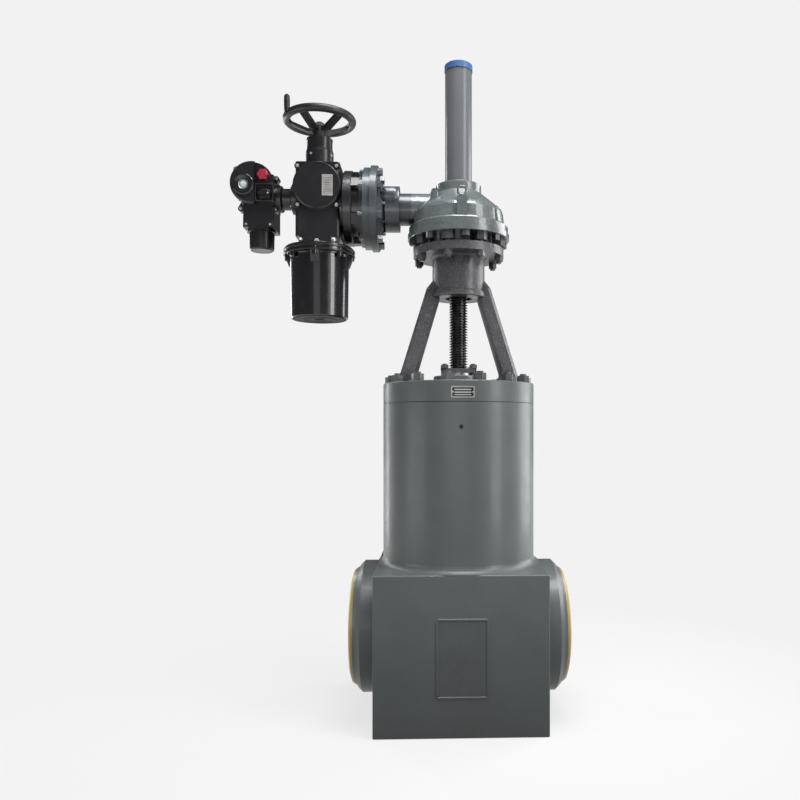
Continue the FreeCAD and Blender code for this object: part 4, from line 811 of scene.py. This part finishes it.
# ------------------------------------------------------------------ sub-assemblies
@dataclass
class StemThread:
    """The rising stem with its trapezoidal thread, in place of the plain solid.

    Attributes:
        outer: Thread's outer radius.
        root: Thread's root radius.
        pitch: Rise of one turn.
        crest: Share of the pitch that the flat top takes.
        valley: Share of the pitch that the flat root takes.
        start: Height where the thread begins, with the gate closed.
        steps: How many steps make one turn.
    """

    outer: float = 0.041
    root: float = 0.0328
    pitch: float = 0.012
    crest: float = 0.24
    valley: float = 0.34
    start: float = 1.500
    steps: int = 24

    def build(self, shop: PieceShop) -> None:
        """Make the threaded stem and let it stand for the plain one."""
        low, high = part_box("stem")
        mesh = bmesh.new()
        self._helix(mesh, self.start - 2 * self.pitch, high.z + self.pitch)
        self._trim(mesh, self.start, high.z - 0.0005)
        head, neck, seat = low.z + 0.032, 0.625, 0.640
        over = self.start + 0.0005
        spun(mesh, [(0, low.z), (0.044, low.z), (0.044, head), (0.033, head), (0.033, neck),
                    (0.056, neck), (0.056, seat), (self.outer, seat),
                    (self.outer, self.start - 0.004), (self.outer - 0.004, over), (0, over)])
        stem = shop.issue(mesh, "threaded_stem", Coat.GREASE, "stem_and_gate")
        shop.finishes.dress(stem, shop.finishes.parted(
            "stem_shank_and_thread", Coat.GREASE, Coat.SHANK, "Z", self.start - 0.002, False))
        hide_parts("stem")

    def _helix(self, mesh: Mesh, low: float, high: float) -> None:
        """Wind the thread's section up the stem.

        Args:
            mesh: The empty mesh that receives it.
            low: Height of the first turn.
            high: Height that the last turn passes.
        """
        top = self.pitch * self.crest
        base = self.pitch * self.valley
        flank = (self.pitch - top - base) / 2
        line = []
        level = low
        while level < high:
            line += [(self.outer, level), (self.outer, level + top),
                     (self.root, level + top + flank), (self.root, level + top + flank + base)]
            level += self.pitch
        verts = [mesh.verts.new((radius, 0, height)) for radius, height in line]
        edges = [mesh.edges.new(pair) for pair in zip(verts, verts[1:])]
        bmesh.ops.spin(mesh, geom=verts + edges, cent=ORIGIN, axis=UP, angle=math.tau,
                       steps=self.steps, use_merge=False, dvec=(0, 0, self.pitch / self.steps))
        bmesh.ops.remove_doubles(mesh, verts=mesh.verts, dist=1e-5)

    @staticmethod
    def _trim(mesh: Mesh, low: float, high: float) -> None:
        """Cut the thread square at both ends and close it.

        Args:
            mesh: The mesh that holds it.
            low: Height of the lower cut.
            high: Height of the upper cut.
        """
        for level, outward in ((low, -1), (high, 1)):
            bmesh.ops.bisect_plane(
                mesh, geom=[*mesh.verts, *mesh.edges, *mesh.faces], dist=1e-7,
                plane_co=(0, 0, level), plane_no=(0, 0, outward), clear_outer=True)
            rim = [edge for edge in mesh.edges if edge.is_boundary
                   and all(abs(vert.co.z - level) < 1e-5 for vert in edge.verts)]
            bmesh.ops.edgeloop_fill(mesh, edges=rim)


@dataclass
class Forging:
    """The forged body, its neck and weld ends, the cast pad and the cover ring's plate.

    Attributes:
        pad_spot: Centre of the cast pad's back.
        pad_size: Width and height of the pad.
        pad_rise: How far the pad stands out.
        ring: Radius of the cover ring.
        plate_turn: Angle of the cover ring's plate, to the right of the front.
        plate_level: Height of the plate's centre.
        plate_size: Width and height of the plate.
        land_start: Distance from the stem axis where the weld bevels begin.
    """

    pad_spot: Point = (0.003, -0.358, 0.321)
    pad_size: Pair = (0.215, 0.324)
    pad_rise: float = 0.0035
    ring: float = 0.336
    plate_turn: float = math.radians(1.1)
    plate_level: float = 1.397
    plate_size: Pair = (0.097, 0.047)
    land_start: float = 0.452

    def dress(self, finishes: FinishShop, nodes: dict[str, Thing]) -> None:
        """Give the body's nodes their finish.

        Args:
            finishes: Where the materials come from.
            nodes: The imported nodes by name.
        """
        lands = finishes.parted("forged_body_with_weld_lands", Coat.FORGED, Coat.GOLD, "X",
                                self.land_start, True)
        for name in ("valve_body", "body_neck", "weld_end_left", "weld_end_right"):
            finishes.dress(nodes[name], lands)

    def build(self, shop: PieceShop) -> None:
        """Make the pad and the plate."""
        mesh = bmesh.new()
        card(mesh, self.pad_size, 0.012, 4)
        lid = lifted(mesh, list(mesh.faces), self.pad_rise)
        for wide, deep in ((0.0016, 0.0022), (0.0014, 0.0008), (0.0044, 0.0), (0.0014, -0.0008),
                           (0.0018, -0.0030)):
            bmesh.ops.inset_region(mesh, faces=lid, thickness=wide, depth=deep)
        settled(mesh, mesh.verts, self.pad_spot, FRONT)
        shop.issue(mesh, "cast_pad", Coat.PAD)
        self._sheet(shop, "ring_plate", Coat.PLATE, 0.0, (0.0, 0.0012))
        self._sheet(shop, "ring_plate_field", Coat.FIELD, 0.005, (0.0008, 0.0015))
        rivet, apart = self.ring + 0.0014, 0.0415 / self.ring
        spots = [(self._round(side * apart, rivet, 0.0), self._facing(side * apart))
                 for side in SIDES]
        shop.screws("ring_plate_rivets", spots, 0.005, 0.0016)
        self._blank_fields(shop)

    def _facing(self, turn: float) -> Point:
        """Return the outward direction at an angle to the right of the plate's middle."""
        angle = -math.pi / 2 + self.plate_turn + turn
        return math.cos(angle), math.sin(angle), 0.0

    def _round(self, turn: float, radius: float, up: float) -> Point:
        """Return the point at an angle, a radius and a height from the plate's middle."""
        x, y, _ = self._facing(turn)
        return x * radius, y * radius, self.plate_level + up

    def _sheet(self, shop: PieceShop, name: str, coat: Coat, shrink: float,
               depths: Pair) -> None:
        """Make one curved sheet of the plate.

        Args:
            shop: Where pieces are issued.
            name: The sheet's name.
            coat: Its finish.
            shrink: How far its border lies inside the plate's.
            depths: How far its back and its front stand out from the cover ring.
        """
        mesh = bmesh.new()
        half = self.plate_size[1] / 2 - shrink
        sweep = (self.plate_size[0] - 2 * shrink) / self.ring
        low, high = depths
        section = mesh.faces.new([
            mesh.verts.new((self.ring + depth, 0, self.plate_level + level))
            for depth, level in ((low, -half), (high, -half), (high, half), (low, half))])
        swept = bmesh.ops.spin(mesh, geom=[section], cent=ORIGIN, axis=UP, angle=sweep,
                               steps=12)
        ends = {*swept["geom_last"], section}
        corners = [edge for edge in mesh.edges
                   if edge.calc_length() < 0.002 and ends.intersection(edge.link_faces)]
        softened(mesh, corners, 0.006 - shrink * 0.5)
        turn = Matrix.Rotation(-math.pi / 2 + self.plate_turn - sweep / 2, 4, "Z")
        bmesh.ops.transform(mesh, matrix=turn, verts=mesh.verts)
        shop.issue(mesh, name, coat)

    def _blank_fields(self, shop: PieceShop) -> None:
        """Print the three empty bars of the plate."""
        radius, long = self.ring + 0.0015, 0.068
        mesh = bmesh.new()
        for up, tall in ((0.0095, 0.0042), (-0.0015, 0.0042), (-0.0115, 0.0030)):
            bar = bmesh.ops.create_grid(mesh, x_segments=4, y_segments=1, size=0.5)["verts"]
            bmesh.ops.scale(mesh, verts=bar, vec=(long, tall, 1))
            for vert in bar:
                vert.co = self._round(vert.co.x / radius, radius + 0.00015, up + vert.co.y)
        shop.issue(mesh, "ring_plate_fields", Coat.PRINT)


@dataclass
class Gearcase:
    """The small ribs, bead, lug and collar of the gearbox and the yoke's hub.

    Attributes:
        rib_turns: Angles of the bell's small ribs, in degrees.
        rib_spot: Middle of the rib at angle 0.
        rib_size: Depth, width and height of a rib.
        collar: Inner and outer radius of the hub's collar.
        collar_base: Height where the collar begins.
        collar_tall: Height of the collar.
    """

    rib_turns: tuple[float, ...] = (-36.0, 36.0, 90.0, 144.0)
    rib_spot: Point = (0.199, 0.0, 2.183)
    rib_size: Point = (0.030, 0.026, 0.074)
    collar: Pair = (0.112, 0.126)
    collar_base: float = 1.8305
    collar_tall: float = 0.030

    def build(self, shop: PieceShop) -> None:
        """Make the ribs, the bead above the bell's flange, the collar and the lug."""
        mesh = bmesh.new()
        for turn in self.rib_turns:
            leaning_block(mesh, self.rib_size, 1, 0.012, 0.005,
                          Matrix.Rotation(math.radians(turn), 4, "Z")
                          @ Matrix.Translation(self.rib_spot))
        shop.issue(mesh, "bell_ribs", Coat.GEARCASE)
        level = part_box("gearbox_base")[1].z + 0.030
        shop.turned("bell_bead", Coat.GEARCASE, [
            (0.196, -0.001), (0.2155, -0.001), (0.2165, 0.002), (0.2155, 0.0055),
            (0.211, 0.010), (0.196, 0.010), (0.196, -0.001)], [(0, 0, level)], steps=96)
        inner, outer = self.collar
        top = self.collar_tall
        shop.turned("hub_collar", Coat.CASTING, [
            (inner, 0), (outer - 0.006, 0), (outer - 0.002, 0.002), (outer, 0.007),
            (outer, top - 0.014), (outer - 0.004, top - 0.004), (outer - 0.010, top),
            (inner, top), (inner, 0)], [(0, 0, self.collar_base)], steps=72)
        shop.turned("input_lug", Coat.FLANGE, [
            (0.0, -0.041), (0.030, -0.041), (0.038, -0.037), (0.042, -0.030), (0.043, 0.0),
            (0.041, 0.028), (0.036, 0.037), (0.028, 0.041), (0.0, 0.041)],
            [(-0.311, -0.070, 2.268)], (1, 0, 0))
        shop.turned("input_lug_plug", Coat.MATT, [
            (0.0, 0.0035), (0.0045, 0.0035), (0.0055, 0.0010), (0.0085, 0.0010),
            (0.0095, 0.0030), (0.0115, 0.0030), (0.0122, 0.0), (0.0122, -0.004),
            (0.0, -0.004)], [(-0.332, -0.1105, 2.281)], (0, -0.95, 0.31), 32)


@dataclass
class Actuator:
    """The electric actuator's plate, screws, covers, rims and small lugs.

    Attributes:
        cover: Centre of the front cover, on its outer face.
        ear_reach: Distance from that centre to each cover screw.
        ear_face: Y of the ears' front.
        plate_spot: Centre of the plate's back.
        plate_size: Width and height of the plate.
        worm: X and Y of the motor and handwheel axis.
        drum_bolts: How many bolts hold the drum's flange.
    """

    cover: Point = (-0.612, -0.152, 2.291)
    ear_reach: float = 0.118
    ear_face: float = -0.140
    plate_spot: Point = (-0.566, -0.1521, 2.289)
    plate_size: Pair = (0.046, 0.091)
    worm: Pair = (-0.612, -0.063)
    drum_bolts: int = 8

    def build(self, shop: PieceShop) -> None:
        """Make the actuator's small pieces."""
        self._plate(shop)
        self._screws(shop)
        self._motor(shop)
        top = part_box("hand_column")[1].z
        shop.turned("column_bands", Coat.ENAMEL, [
            (0.053, -0.004), (0.0574, -0.003), (0.0582, 0), (0.0574, 0.003), (0.053, 0.004),
            (0.053, -0.004)], [(*self.worm, top - 0.004), (*self.worm, top - 0.051)], steps=64)
        middle = (self.cover[0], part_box("actuator_housing")[1].y - 0.0005, self.cover[2])
        back = (0, 1, 0)
        shop.turned("box_back_cover", Coat.ENAMEL, [
            (0.0, 0.0065), (0.060, 0.0065), (0.064, 0.009), (0.074, 0.009), (0.078, 0.0065),
            (0.080, 0.002), (0.080, -0.001), (0.0, -0.001)], [middle], back, 72)
        shop.screws("box_back_screws", [
            ((middle[0] + 0.069 * math.cos(turn), middle[1] + 0.009,
              middle[2] + 0.069 * math.sin(turn)), back)
            for turn in (math.radians(30 + 60 * step) for step in range(6))], 0.010, 0.005)

    def _plate(self, shop: PieceShop) -> None:
        """Make the bare plate on the front cover, its rules and its rivets."""
        x, y, z = self.plate_spot
        mesh = bmesh.new()
        card(mesh, self.plate_size, 0.003, 3)
        lid = lifted(mesh, list(mesh.faces), 0.0011)
        bmesh.ops.inset_region(mesh, faces=lid, thickness=0.0022, depth=0.0)
        bmesh.ops.inset_region(mesh, faces=lid, thickness=0.0005, depth=-0.0004)
        settled(mesh, mesh.verts, self.plate_spot, FRONT)
        shop.issue(mesh, "cover_plate", Coat.PLATE)
        mesh = bmesh.new()
        for step, long in enumerate((0.034, *[0.030] * 5, 0.034)):
            block(mesh, (long, 0.0011, 0.0004), (0, 0.030 - 0.010 * step, 0.0009))
        settled(mesh, mesh.verts, self.plate_spot, FRONT)
        shop.issue(mesh, "cover_plate_rules", Coat.FIELD)
        wide, tall = (span / 2 - 0.004 for span in self.plate_size)
        shop.screws("cover_plate_rivets", [
            ((x + across * wide, y - 0.0008, z + up * tall), FRONT) for across, up in CORNERS],
            0.003, 0.001)

    def _screws(self, shop: PieceShop) -> None:
        """Make the screws of the cover, the adapter, the column and the drum."""
        slant = self.ear_reach * SLANT
        shop.screws("cover_screws", [
            ((self.cover[0] + across * slant, self.ear_face, self.cover[2] + up * slant), FRONT)
            for across, up in CORNERS], 0.0105, 0.009)
        x, y = self.worm
        front_left, back_left, front_right, back_right = (
            ((x + across * 0.069, y + deep * 0.069, 2.060), (across * SLANT, deep * SLANT, 0))
            for across, deep in CORNERS)
        shop.screws("adapter_screws", [
            front_left, front_right, ((x, y - 0.080, 2.052), FRONT), back_left, back_right],
            0.015, 0.012, socket=False)
        turns = [math.radians(angle) for angle in (-28, 62, 152, 242)]
        shop.screws("column_screws", [
            ((x + 0.059 * math.cos(turn), y + 0.059 * math.sin(turn), 2.436),
             (math.cos(turn), math.sin(turn), 0)) for turn in turns], 0.0095, 0.007)
        face, axis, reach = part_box("gear_drum")[1].x - 0.016, 2.230, 0.149
        turns = [math.tau * (step + 0.5) / self.drum_bolts for step in range(self.drum_bolts)]
        shop.screws("drum_bolts", [
            ((face, -reach * math.cos(turn), axis + reach * math.sin(turn)), LEFT)
            for turn in turns], 0.016, 0.011, Coat.STUD, socket=False)

    def _motor(self, shop: PieceShop) -> None:
        """Make the motor's two rims, its four tapered lugs and its pressed end plate."""
        low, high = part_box("motor_can")
        outer = (high.x - low.x) / 2
        shop.turned("motor_rims", Coat.ENAMEL, [
            (outer - 0.004, -0.004), (outer + 0.0008, -0.004), (outer + 0.0026, -0.0024),
            (outer + 0.0026, 0.0024), (outer + 0.0008, 0.004), (outer - 0.004, 0.004),
            (outer - 0.004, -0.004)],
            [(*self.worm, high.z - 0.031), (*self.worm, high.z - 0.013)], steps=72)
        mesh = bmesh.new()
        axis, reach = Matrix.Translation((*self.worm, high.z - 0.059)), 0.1365
        for turn in (-90, 0, 90, 180):
            leaning_block(mesh, (0.025, 0.037, 0.050), -1, 0.019, 0.0025,
                          axis @ Matrix.Rotation(math.radians(turn), 4, "Z")
                          @ Matrix.Translation((reach, 0, 0)))
        shop.issue(mesh, "motor_clamps", Coat.ENAMEL)
        shop.turned("can_base", Coat.MATT, [
            (0.0, 0.006), (0.020, 0.006), (0.023, 0.003), (0.026, 0.0005), (0.062, 0.0005),
            (0.066, 0.003), (0.070, 0.003), (0.074, 0.0005), (0.108, 0.0005),
            (0.112, 0.002), (0.1165, 0.002), (0.1165, -0.001), (0.0, -0.001)],
            [(*self.worm, low.z)], (0, 0, -1), 72)


@dataclass
class ControlHead:
    """The local control head: lugs, screws, knobs, lens and hood.

    Attributes:
        centre: X and Z of the round head.
        ears: X and Z of the lugs round it.
        ear_front: Y of the lugs' front.
        ear_back: Y of their back.
        recess: Y of the knobs' seat.
        red: X and Z of the selector's axis.
        black: X and Z of the command knob's axis.
        hood: X and Z of the hood's middle.
        hood_size: Its width and height.
        hood_stand: How far it stands out.
        terminal: Middle between the terminal box's screws.
    """

    centre: Pair = (-0.903, 2.317)
    ears: tuple[Pair, ...] = ((-0.807, 2.352), (-0.962, 2.219), (-0.812, 2.216),
                              (-0.982, 2.392))
    ear_front: float = -0.036
    ear_back: float = 0.004
    recess: float = -0.074
    red: Pair = (-0.853, 2.351)
    black: Pair = (-0.847, 2.269)
    hood: Pair = (-0.8475, 2.2735)
    hood_size: Pair = (0.081, 0.079)
    hood_stand: float = 0.0215
    terminal: Point = (-0.878, -0.070, 2.141)

    def build(self, shop: PieceShop) -> None:
        """Make the head's small pieces."""
        self._lugs(shop)
        self._selector(shop)
        self._pointer(shop)
        low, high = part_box("indicator_glass")
        middle = ((low.x + high.x) / 2, low.y + 0.0002, (low.z + high.z) / 2)
        shop.turned("window_lens", Coat.LENS, [
            (0.0, 0.0072), (0.005, 0.0069), (0.010, 0.0058), (0.0145, 0.0038),
            (0.0172, 0.0012), (0.0172, -0.0005), (0.0, -0.0005)], [middle], FRONT)
        shop.turned("lens_ring", Coat.ZINC, [
            (0.0180, 0.0), (0.0212, 0.0), (0.0212, 0.0030), (0.0200, 0.0040),
            (0.0186, 0.0030), (0.0180, 0.0)], [middle], FRONT)
        self._hood(shop)
        low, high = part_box("control_neck")
        face, level, reach = high.x - 0.0155, (low.z + high.z) / 2, 0.0565
        turns = [math.radians(45 + 90 * step) for step in range(4)]
        shop.screws("neck_screws", [
            ((face, reach * math.cos(turn), level + reach * math.sin(turn)), LEFT)
            for turn in turns], 0.011, 0.006)
        x, y, z = self.terminal
        shop.screws("terminal_screws", [((x + side * 0.052, y, z), FRONT) for side in SIDES],
                    0.0075, 0.004)

    def _lugs(self, shop: PieceShop) -> None:
        """Make the ears round the head with their silver screws."""
        mesh = bmesh.new()
        deep, long = self.ear_back - self.ear_front, 0.055
        for x, z in self.ears:
            ear = spun(mesh, [(0, 0), (0.0125, 0), (0.0125, deep - 0.002), (0.0105, deep),
                              (0, deep)], 24)
            settled(mesh, ear, (x, self.ear_back, z), FRONT)
            inward = Vector((self.centre[0] - x, 0, self.centre[1] - z)).normalized()
            middle = Vector((x, (self.ear_front + self.ear_back) / 2, z)) + inward * long / 2
            settled(mesh, block(mesh, (0.021, 0.030, long)), middle, inward)
        shop.issue(mesh, "head_lugs", Coat.ENAMEL)
        shop.screws("head_screws", [((x, self.ear_front, z), FRONT) for x, z in self.ears],
                    0.0105, 0.007)

    def _selector(self, shop: PieceShop) -> None:
        """Make the scalloped red knob in place of the plain one."""
        mesh = bmesh.new()
        corners, tall = 12, 0.026
        knob = bmesh.ops.create_cone(mesh, cap_ends=True, segments=corners, radius1=0.0305,
                                     radius2=0.0270, depth=tall)["verts"]
        hollow = [vert for vert in knob
                  if round(math.atan2(vert.co.y, vert.co.x) / (math.tau / corners)) % 2]
        bmesh.ops.scale(mesh, verts=hollow, vec=(0.74, 0.74, 1))
        softened(mesh, [edge for edge in mesh.edges
                        if abs(edge.verts[0].co.z - edge.verts[1].co.z) > 0.02], 0.0042)
        softened(mesh, [edge for edge in mesh.edges
                        if all(vert.co.z > 0.0129 for vert in edge.verts)], 0.0032)
        bmesh.ops.translate(mesh, verts=mesh.verts, vec=(0, 0, 0.0135))
        spun(mesh, [(0, -0.022), (0.0058, -0.022), (0.0058, 0.002), (0, 0.002)], 24)
        block(mesh, (0.0075, 0.042, 0.004), (0, 0, 0.0275))
        settled(mesh, mesh.verts, (self.red[0], self.recess, self.red[1]), FRONT)
        grip = shop.issue(mesh, "selector_grip", Coat.RED, "selector")
        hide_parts("selector_knob")

    def _pointer(self, shop: PieceShop) -> None:
        """Print a white pointer on the command knob's bar."""
        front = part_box("command_knob")[0].y
        mesh = bmesh.new()
        bmesh.ops.create_circle(mesh, cap_ends=True, segments=3, radius=0.0052)
        lifted(mesh, list(mesh.faces), 0.0003)
        settled(mesh, mesh.verts, (self.black[0] + 0.017, front - 0.0001, self.black[1]), FRONT)
        shop.issue(mesh, "command_pointer", Coat.PRINT, "command")

    def _hood(self, shop: PieceShop) -> None:
        """Make the square hood that stands round the command knob."""
        mesh = bmesh.new()
        card(mesh, self.hood_size, 0.009, 5)
        inside = list(mesh.faces)
        bmesh.ops.inset_region(mesh, faces=inside, thickness=0.0058, depth=0.0,
                               use_boundary=True, use_even_offset=True)
        bmesh.ops.delete(mesh, geom=inside, context="FACES")
        lifted(mesh, list(mesh.faces), self.hood_stand)
        rims = [edge for edge in mesh.edges
                if all(vert.co.z > self.hood_stand - 1e-5 for vert in edge.verts)
                and any(abs(face.normal.z) < 0.5 for face in edge.link_faces)]
        softened(mesh, rims, 0.0016)
        settled(mesh, mesh.verts, (self.hood[0], self.recess + 0.0005, self.hood[1]), FRONT)
        shop.issue(mesh, "command_hood", Coat.ENAMEL)


# ------------------------------------------------------------------ studio
@dataclass(frozen=True)
class Lamp:
    """One rectangular lamp.

    Attributes:
        name: The lamp's name.
        spot: Where it hangs.
        aim: The point that it faces.
        size: Its width and height.
        power: Its power in watts.
        mirrored: Whether it is seen in reflections.
        lighting: Whether it lights dull surfaces.
    """

    name: str
    spot: Point
    aim: Point
    size: Pair
    power: float
    mirrored: bool = True
    lighting: bool = True

    def hang(self) -> None:
        """Put the lamp in the scene."""
        data = bpy.data.lights.new(self.name, "AREA")
        data.shape = "RECTANGLE"
        data.size, data.size_y = self.size
        data.energy = self.power
        light = bpy.data.objects.new(self.name, data)
        light.location = self.spot
        way = Vector(self.aim) - Vector(self.spot)
        light.rotation_euler = way.to_track_quat("-Z", "Y").to_euler()
        light.visible_glossy = self.mirrored
        light.visible_diffuse = self.lighting
        bpy.context.scene.collection.objects.link(light)


LAMPS: tuple[Lamp, ...] = (
    Lamp("right_strip", (2.5, -1.9, 2.3), (0.0, 0.0, 1.6), (0.9, 4.0), 66.0),
    Lamp("right_rear_box", (3.0, 1.3, 2.0), (0.0, 0.0, 1.3), (1.8, 3.4), 84.0),
    Lamp("left_rear_strip", (-2.3, 2.1, 2.0), (0.0, 0.0, 1.4), (0.5, 3.6), 36.0),
    Lamp("left_strip", (-3.0, -1.0, 2.2), (0.0, 0.0, 1.6), (0.4, 3.6), 30.0, mirrored=False),
    Lamp("top_box", (0.4, -0.9, 4.9), (0.0, 0.0, 1.6), (2.2, 1.6), 165.0),
    Lamp("front_box", (-1.6, -3.2, 3.3), (0.0, 0.0, 2.0), (1.2, 1.0), 22.0, mirrored=False),
    Lamp("neck_card", (-0.4, -3.6, 1.2), (0.0, -0.3, 1.05), (2.2, 0.9), 11.0, lighting=False),
    Lamp("neck_left_card", (-2.9, -1.35, 0.95), (0.0, 0.0, 1.05), (1.6, 1.0), 12.0,
         lighting=False),
    Lamp("front_card", (-0.75, -3.5, 2.3), (-0.61, -0.06, 2.3), (1.5, 0.9), 2.6,
         lighting=False),
    Lamp("right_card", (1.8, -1.75, 2.3), (-0.61, -0.06, 2.2), (1.5, 1.2), 4.5,
         lighting=False),
)


@dataclass
class Studio:
    """The camera, the floor, the backdrop and the lamps.

    Attributes:
        distance: Distance from the lens to the stem axis.
        height: Height of the lens.
        turn: How far the view is turned about the stem, in degrees.
        lens: Focal length in millimetres on a 36 mm sensor.
        shift: Sideways and upward shift of the frame.
        backdrop: Colour of the background.
        bounce: Colour that the floor throws back on the object.
        sky: Colour of the even light from all round.
        soft_light: Strength of that light.
        shadow: How much of the floor's shadow shows.
        shadow_reach: Distances between which the shadow fades out.
    """

    distance: float = 3.375
    height: float = 1.242
    turn: float = 2.0
    lens: float = 33.75
    shift: Pair = (-0.0731, 0.0375)
    backdrop: Colour = tone(242, 242, 242)
    bounce: Colour = tone(104, 106, 108)
    sky: Colour = (0.93, 0.97, 1.0)
    soft_light: float = 0.11
    shadow: float = 0.22
    shadow_reach: Pair = (0.6, 2.2)

    def build(self) -> None:
        """Set up the whole studio."""
        self._camera()
        self._floor()
        self._world()
        for lamp in LAMPS:
            lamp.hang()
        bpy.context.scene.view_settings.view_transform = "Standard"

    def _camera(self) -> None:
        """Stand the camera where the photograph was taken."""
        data = bpy.data.cameras.new("view_camera")
        data.lens = self.lens
        data.sensor_width = 36.0
        data.shift_x, data.shift_y = self.shift
        data.clip_end = 60.0
        camera = bpy.data.objects.new("view_camera", data)
        turn = math.radians(self.turn)
        camera.location = (-self.distance * math.sin(turn), -self.distance * math.cos(turn),
                           self.height)
        camera.rotation_euler = (math.pi / 2, 0.0, -turn)
        bpy.context.scene.collection.objects.link(camera)
        bpy.context.scene.camera = camera

    def _floor(self) -> None:
        """Lay a wide pale floor that keeps the object's shadow and fades into the backdrop."""
        mesh = bmesh.new()
        bmesh.ops.create_circle(mesh, cap_ends=True, segments=96, radius=24.0)
        data = bpy.data.meshes.new("floor")
        mesh.to_mesh(data)
        mesh.free()
        floor = bpy.data.objects.new("floor", data)
        floor.location.z = -0.0005
        bpy.context.scene.collection.objects.link(floor)
        material = bpy.data.materials.new("studio_floor")
        material.use_nodes = True
        tree = material.node_tree
        tree.nodes.clear()
        rays = added(tree, "LightPath").outputs
        tint = mixed(tree, rays["Is Diffuse Ray"], self.backdrop, self.bounce)
        dull = added(tree, "BsdfDiffuse", {"Color": tint})
        glow = added(tree, "Emission", {"Color": self.backdrop})
        reach = added(tree, "VectorMath", {0: here(tree)}, operation="LENGTH")
        fade = ranged(tree, reach.outputs["Value"], 1.0 - self.shadow, 1.0, self.shadow_reach)
        seen = joined(tree, "MAXIMUM", rays["Is Camera Ray"], rays["Is Glossy Ray"],
                    rays["Is Transmission Ray"])
        mix = added(tree, "MixShader", {"Fac": joined(tree, "MULTIPLY", seen, fade),
                                        1: dull.outputs[0], 2: glow.outputs[0]})
        added(tree, "OutputMaterial", {"Surface": mix.outputs[0]})
        data.materials.append(material)
        floor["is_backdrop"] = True

    def _world(self) -> None:
        """Show the pale backdrop and give a soft even light."""
        world = bpy.data.worlds.new("studio_world")
        bpy.context.scene.world = world
        world.use_nodes = True
        tree = world.node_tree
        tree.nodes.clear()
        rays = added(tree, "LightPath").outputs
        shown = added(tree, "Background", {"Color": self.backdrop})
        soft = added(tree, "Background", {"Color": self.sky, "Strength": self.soft_light})
        clear = joined(tree, "MAXIMUM", rays["Is Camera Ray"], rays["Is Transmission Ray"])
        mix = added(tree, "MixShader", {"Fac": clear, 1: soft.outputs[0], 2: shown.outputs[0]})
        added(tree, "OutputWorld", {"Surface": mix.outputs[0]})


NODE_COATS: dict[Coat, tuple[str, ...]] = {
    Coat.FORGED: ("cover_ring",),
    Coat.TUBE: ("stem_tube",),
    Coat.FLANGE: ("input_housing",),
    Coat.CASTING: ("yoke", "gland_flange", "filler_plug"),
    Coat.GEARCASE: ("gearbox_housing", "gearbox_base", "bonnet"),
    Coat.FASTENER: ("cover_studs", "gland_studs", "yoke_foot_bolts", "joint_studs",
                    "base_screws"),
    Coat.STUD: ("lifting_eye", "input_flange_bolts", "handwheel_nut"),
    Coat.ENAMEL: ("gear_drum", "actuator_housing", "front_cover", "hand_column",
                  "motor_adapter", "control_neck", "control_housing", "terminal_cover"),
    Coat.GLOSS: ("motor_can", "window_bezel"),
    Coat.WHEEL: ("handwheel",),
    Coat.KNOB: ("grip", "command_knob"),
    Coat.RED: ("selector_knob",),
    Coat.BLUE: ("tube_cap",),
    Coat.PRINT: ("indicator_dial",),
    Coat.GREASE: ("stem",),
    Coat.BRONZE: ("stem_nut", "drive_sleeve"),
    Coat.GRAPHITE: ("packing_set",),
    Coat.WINDING: ("motor_stator",),
    Coat.GROUND: ("seat_ring_left", "seat_ring_right", "gate", "pressure_seal_ring",
                  "spacer_ring", "segment_ring", "gland_bush", "crown_gear", "bevel_pinion",
                  "thrust_bearings", "shaft_bearings", "worm_bearings", "worm_shaft",
                  "input_shaft", "motor_rotor"),
}


def corners() -> list[list[float]]:
    """Return the shown object's lowest and highest corners as plain lists."""
    return [[float(number) for number in corner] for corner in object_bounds()]


def main() -> None:
    """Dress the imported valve, add its small pieces and set up the studio."""
    logging.basicConfig(level=logging.INFO, format="%(name)s: %(message)s")
    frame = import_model()
    nodes = frame["nodes"]
    finishes = FinishShop()
    shop = PieceShop(finishes)
    for coat, names in NODE_COATS.items():
        for name in names:
            finishes.coat(nodes[name], coat)
    finishes.dress(nodes["indicator_glass"], finishes.glass())
    forging = Forging()
    forging.dress(finishes, nodes)
    for part in (StemThread(), forging, Gearcase(), Actuator(), ControlHead()):
        part.build(shop)
    LOG.info("made %d pieces", len(shop.made))
    Studio().build()


if __name__ == "__main__":
    main()
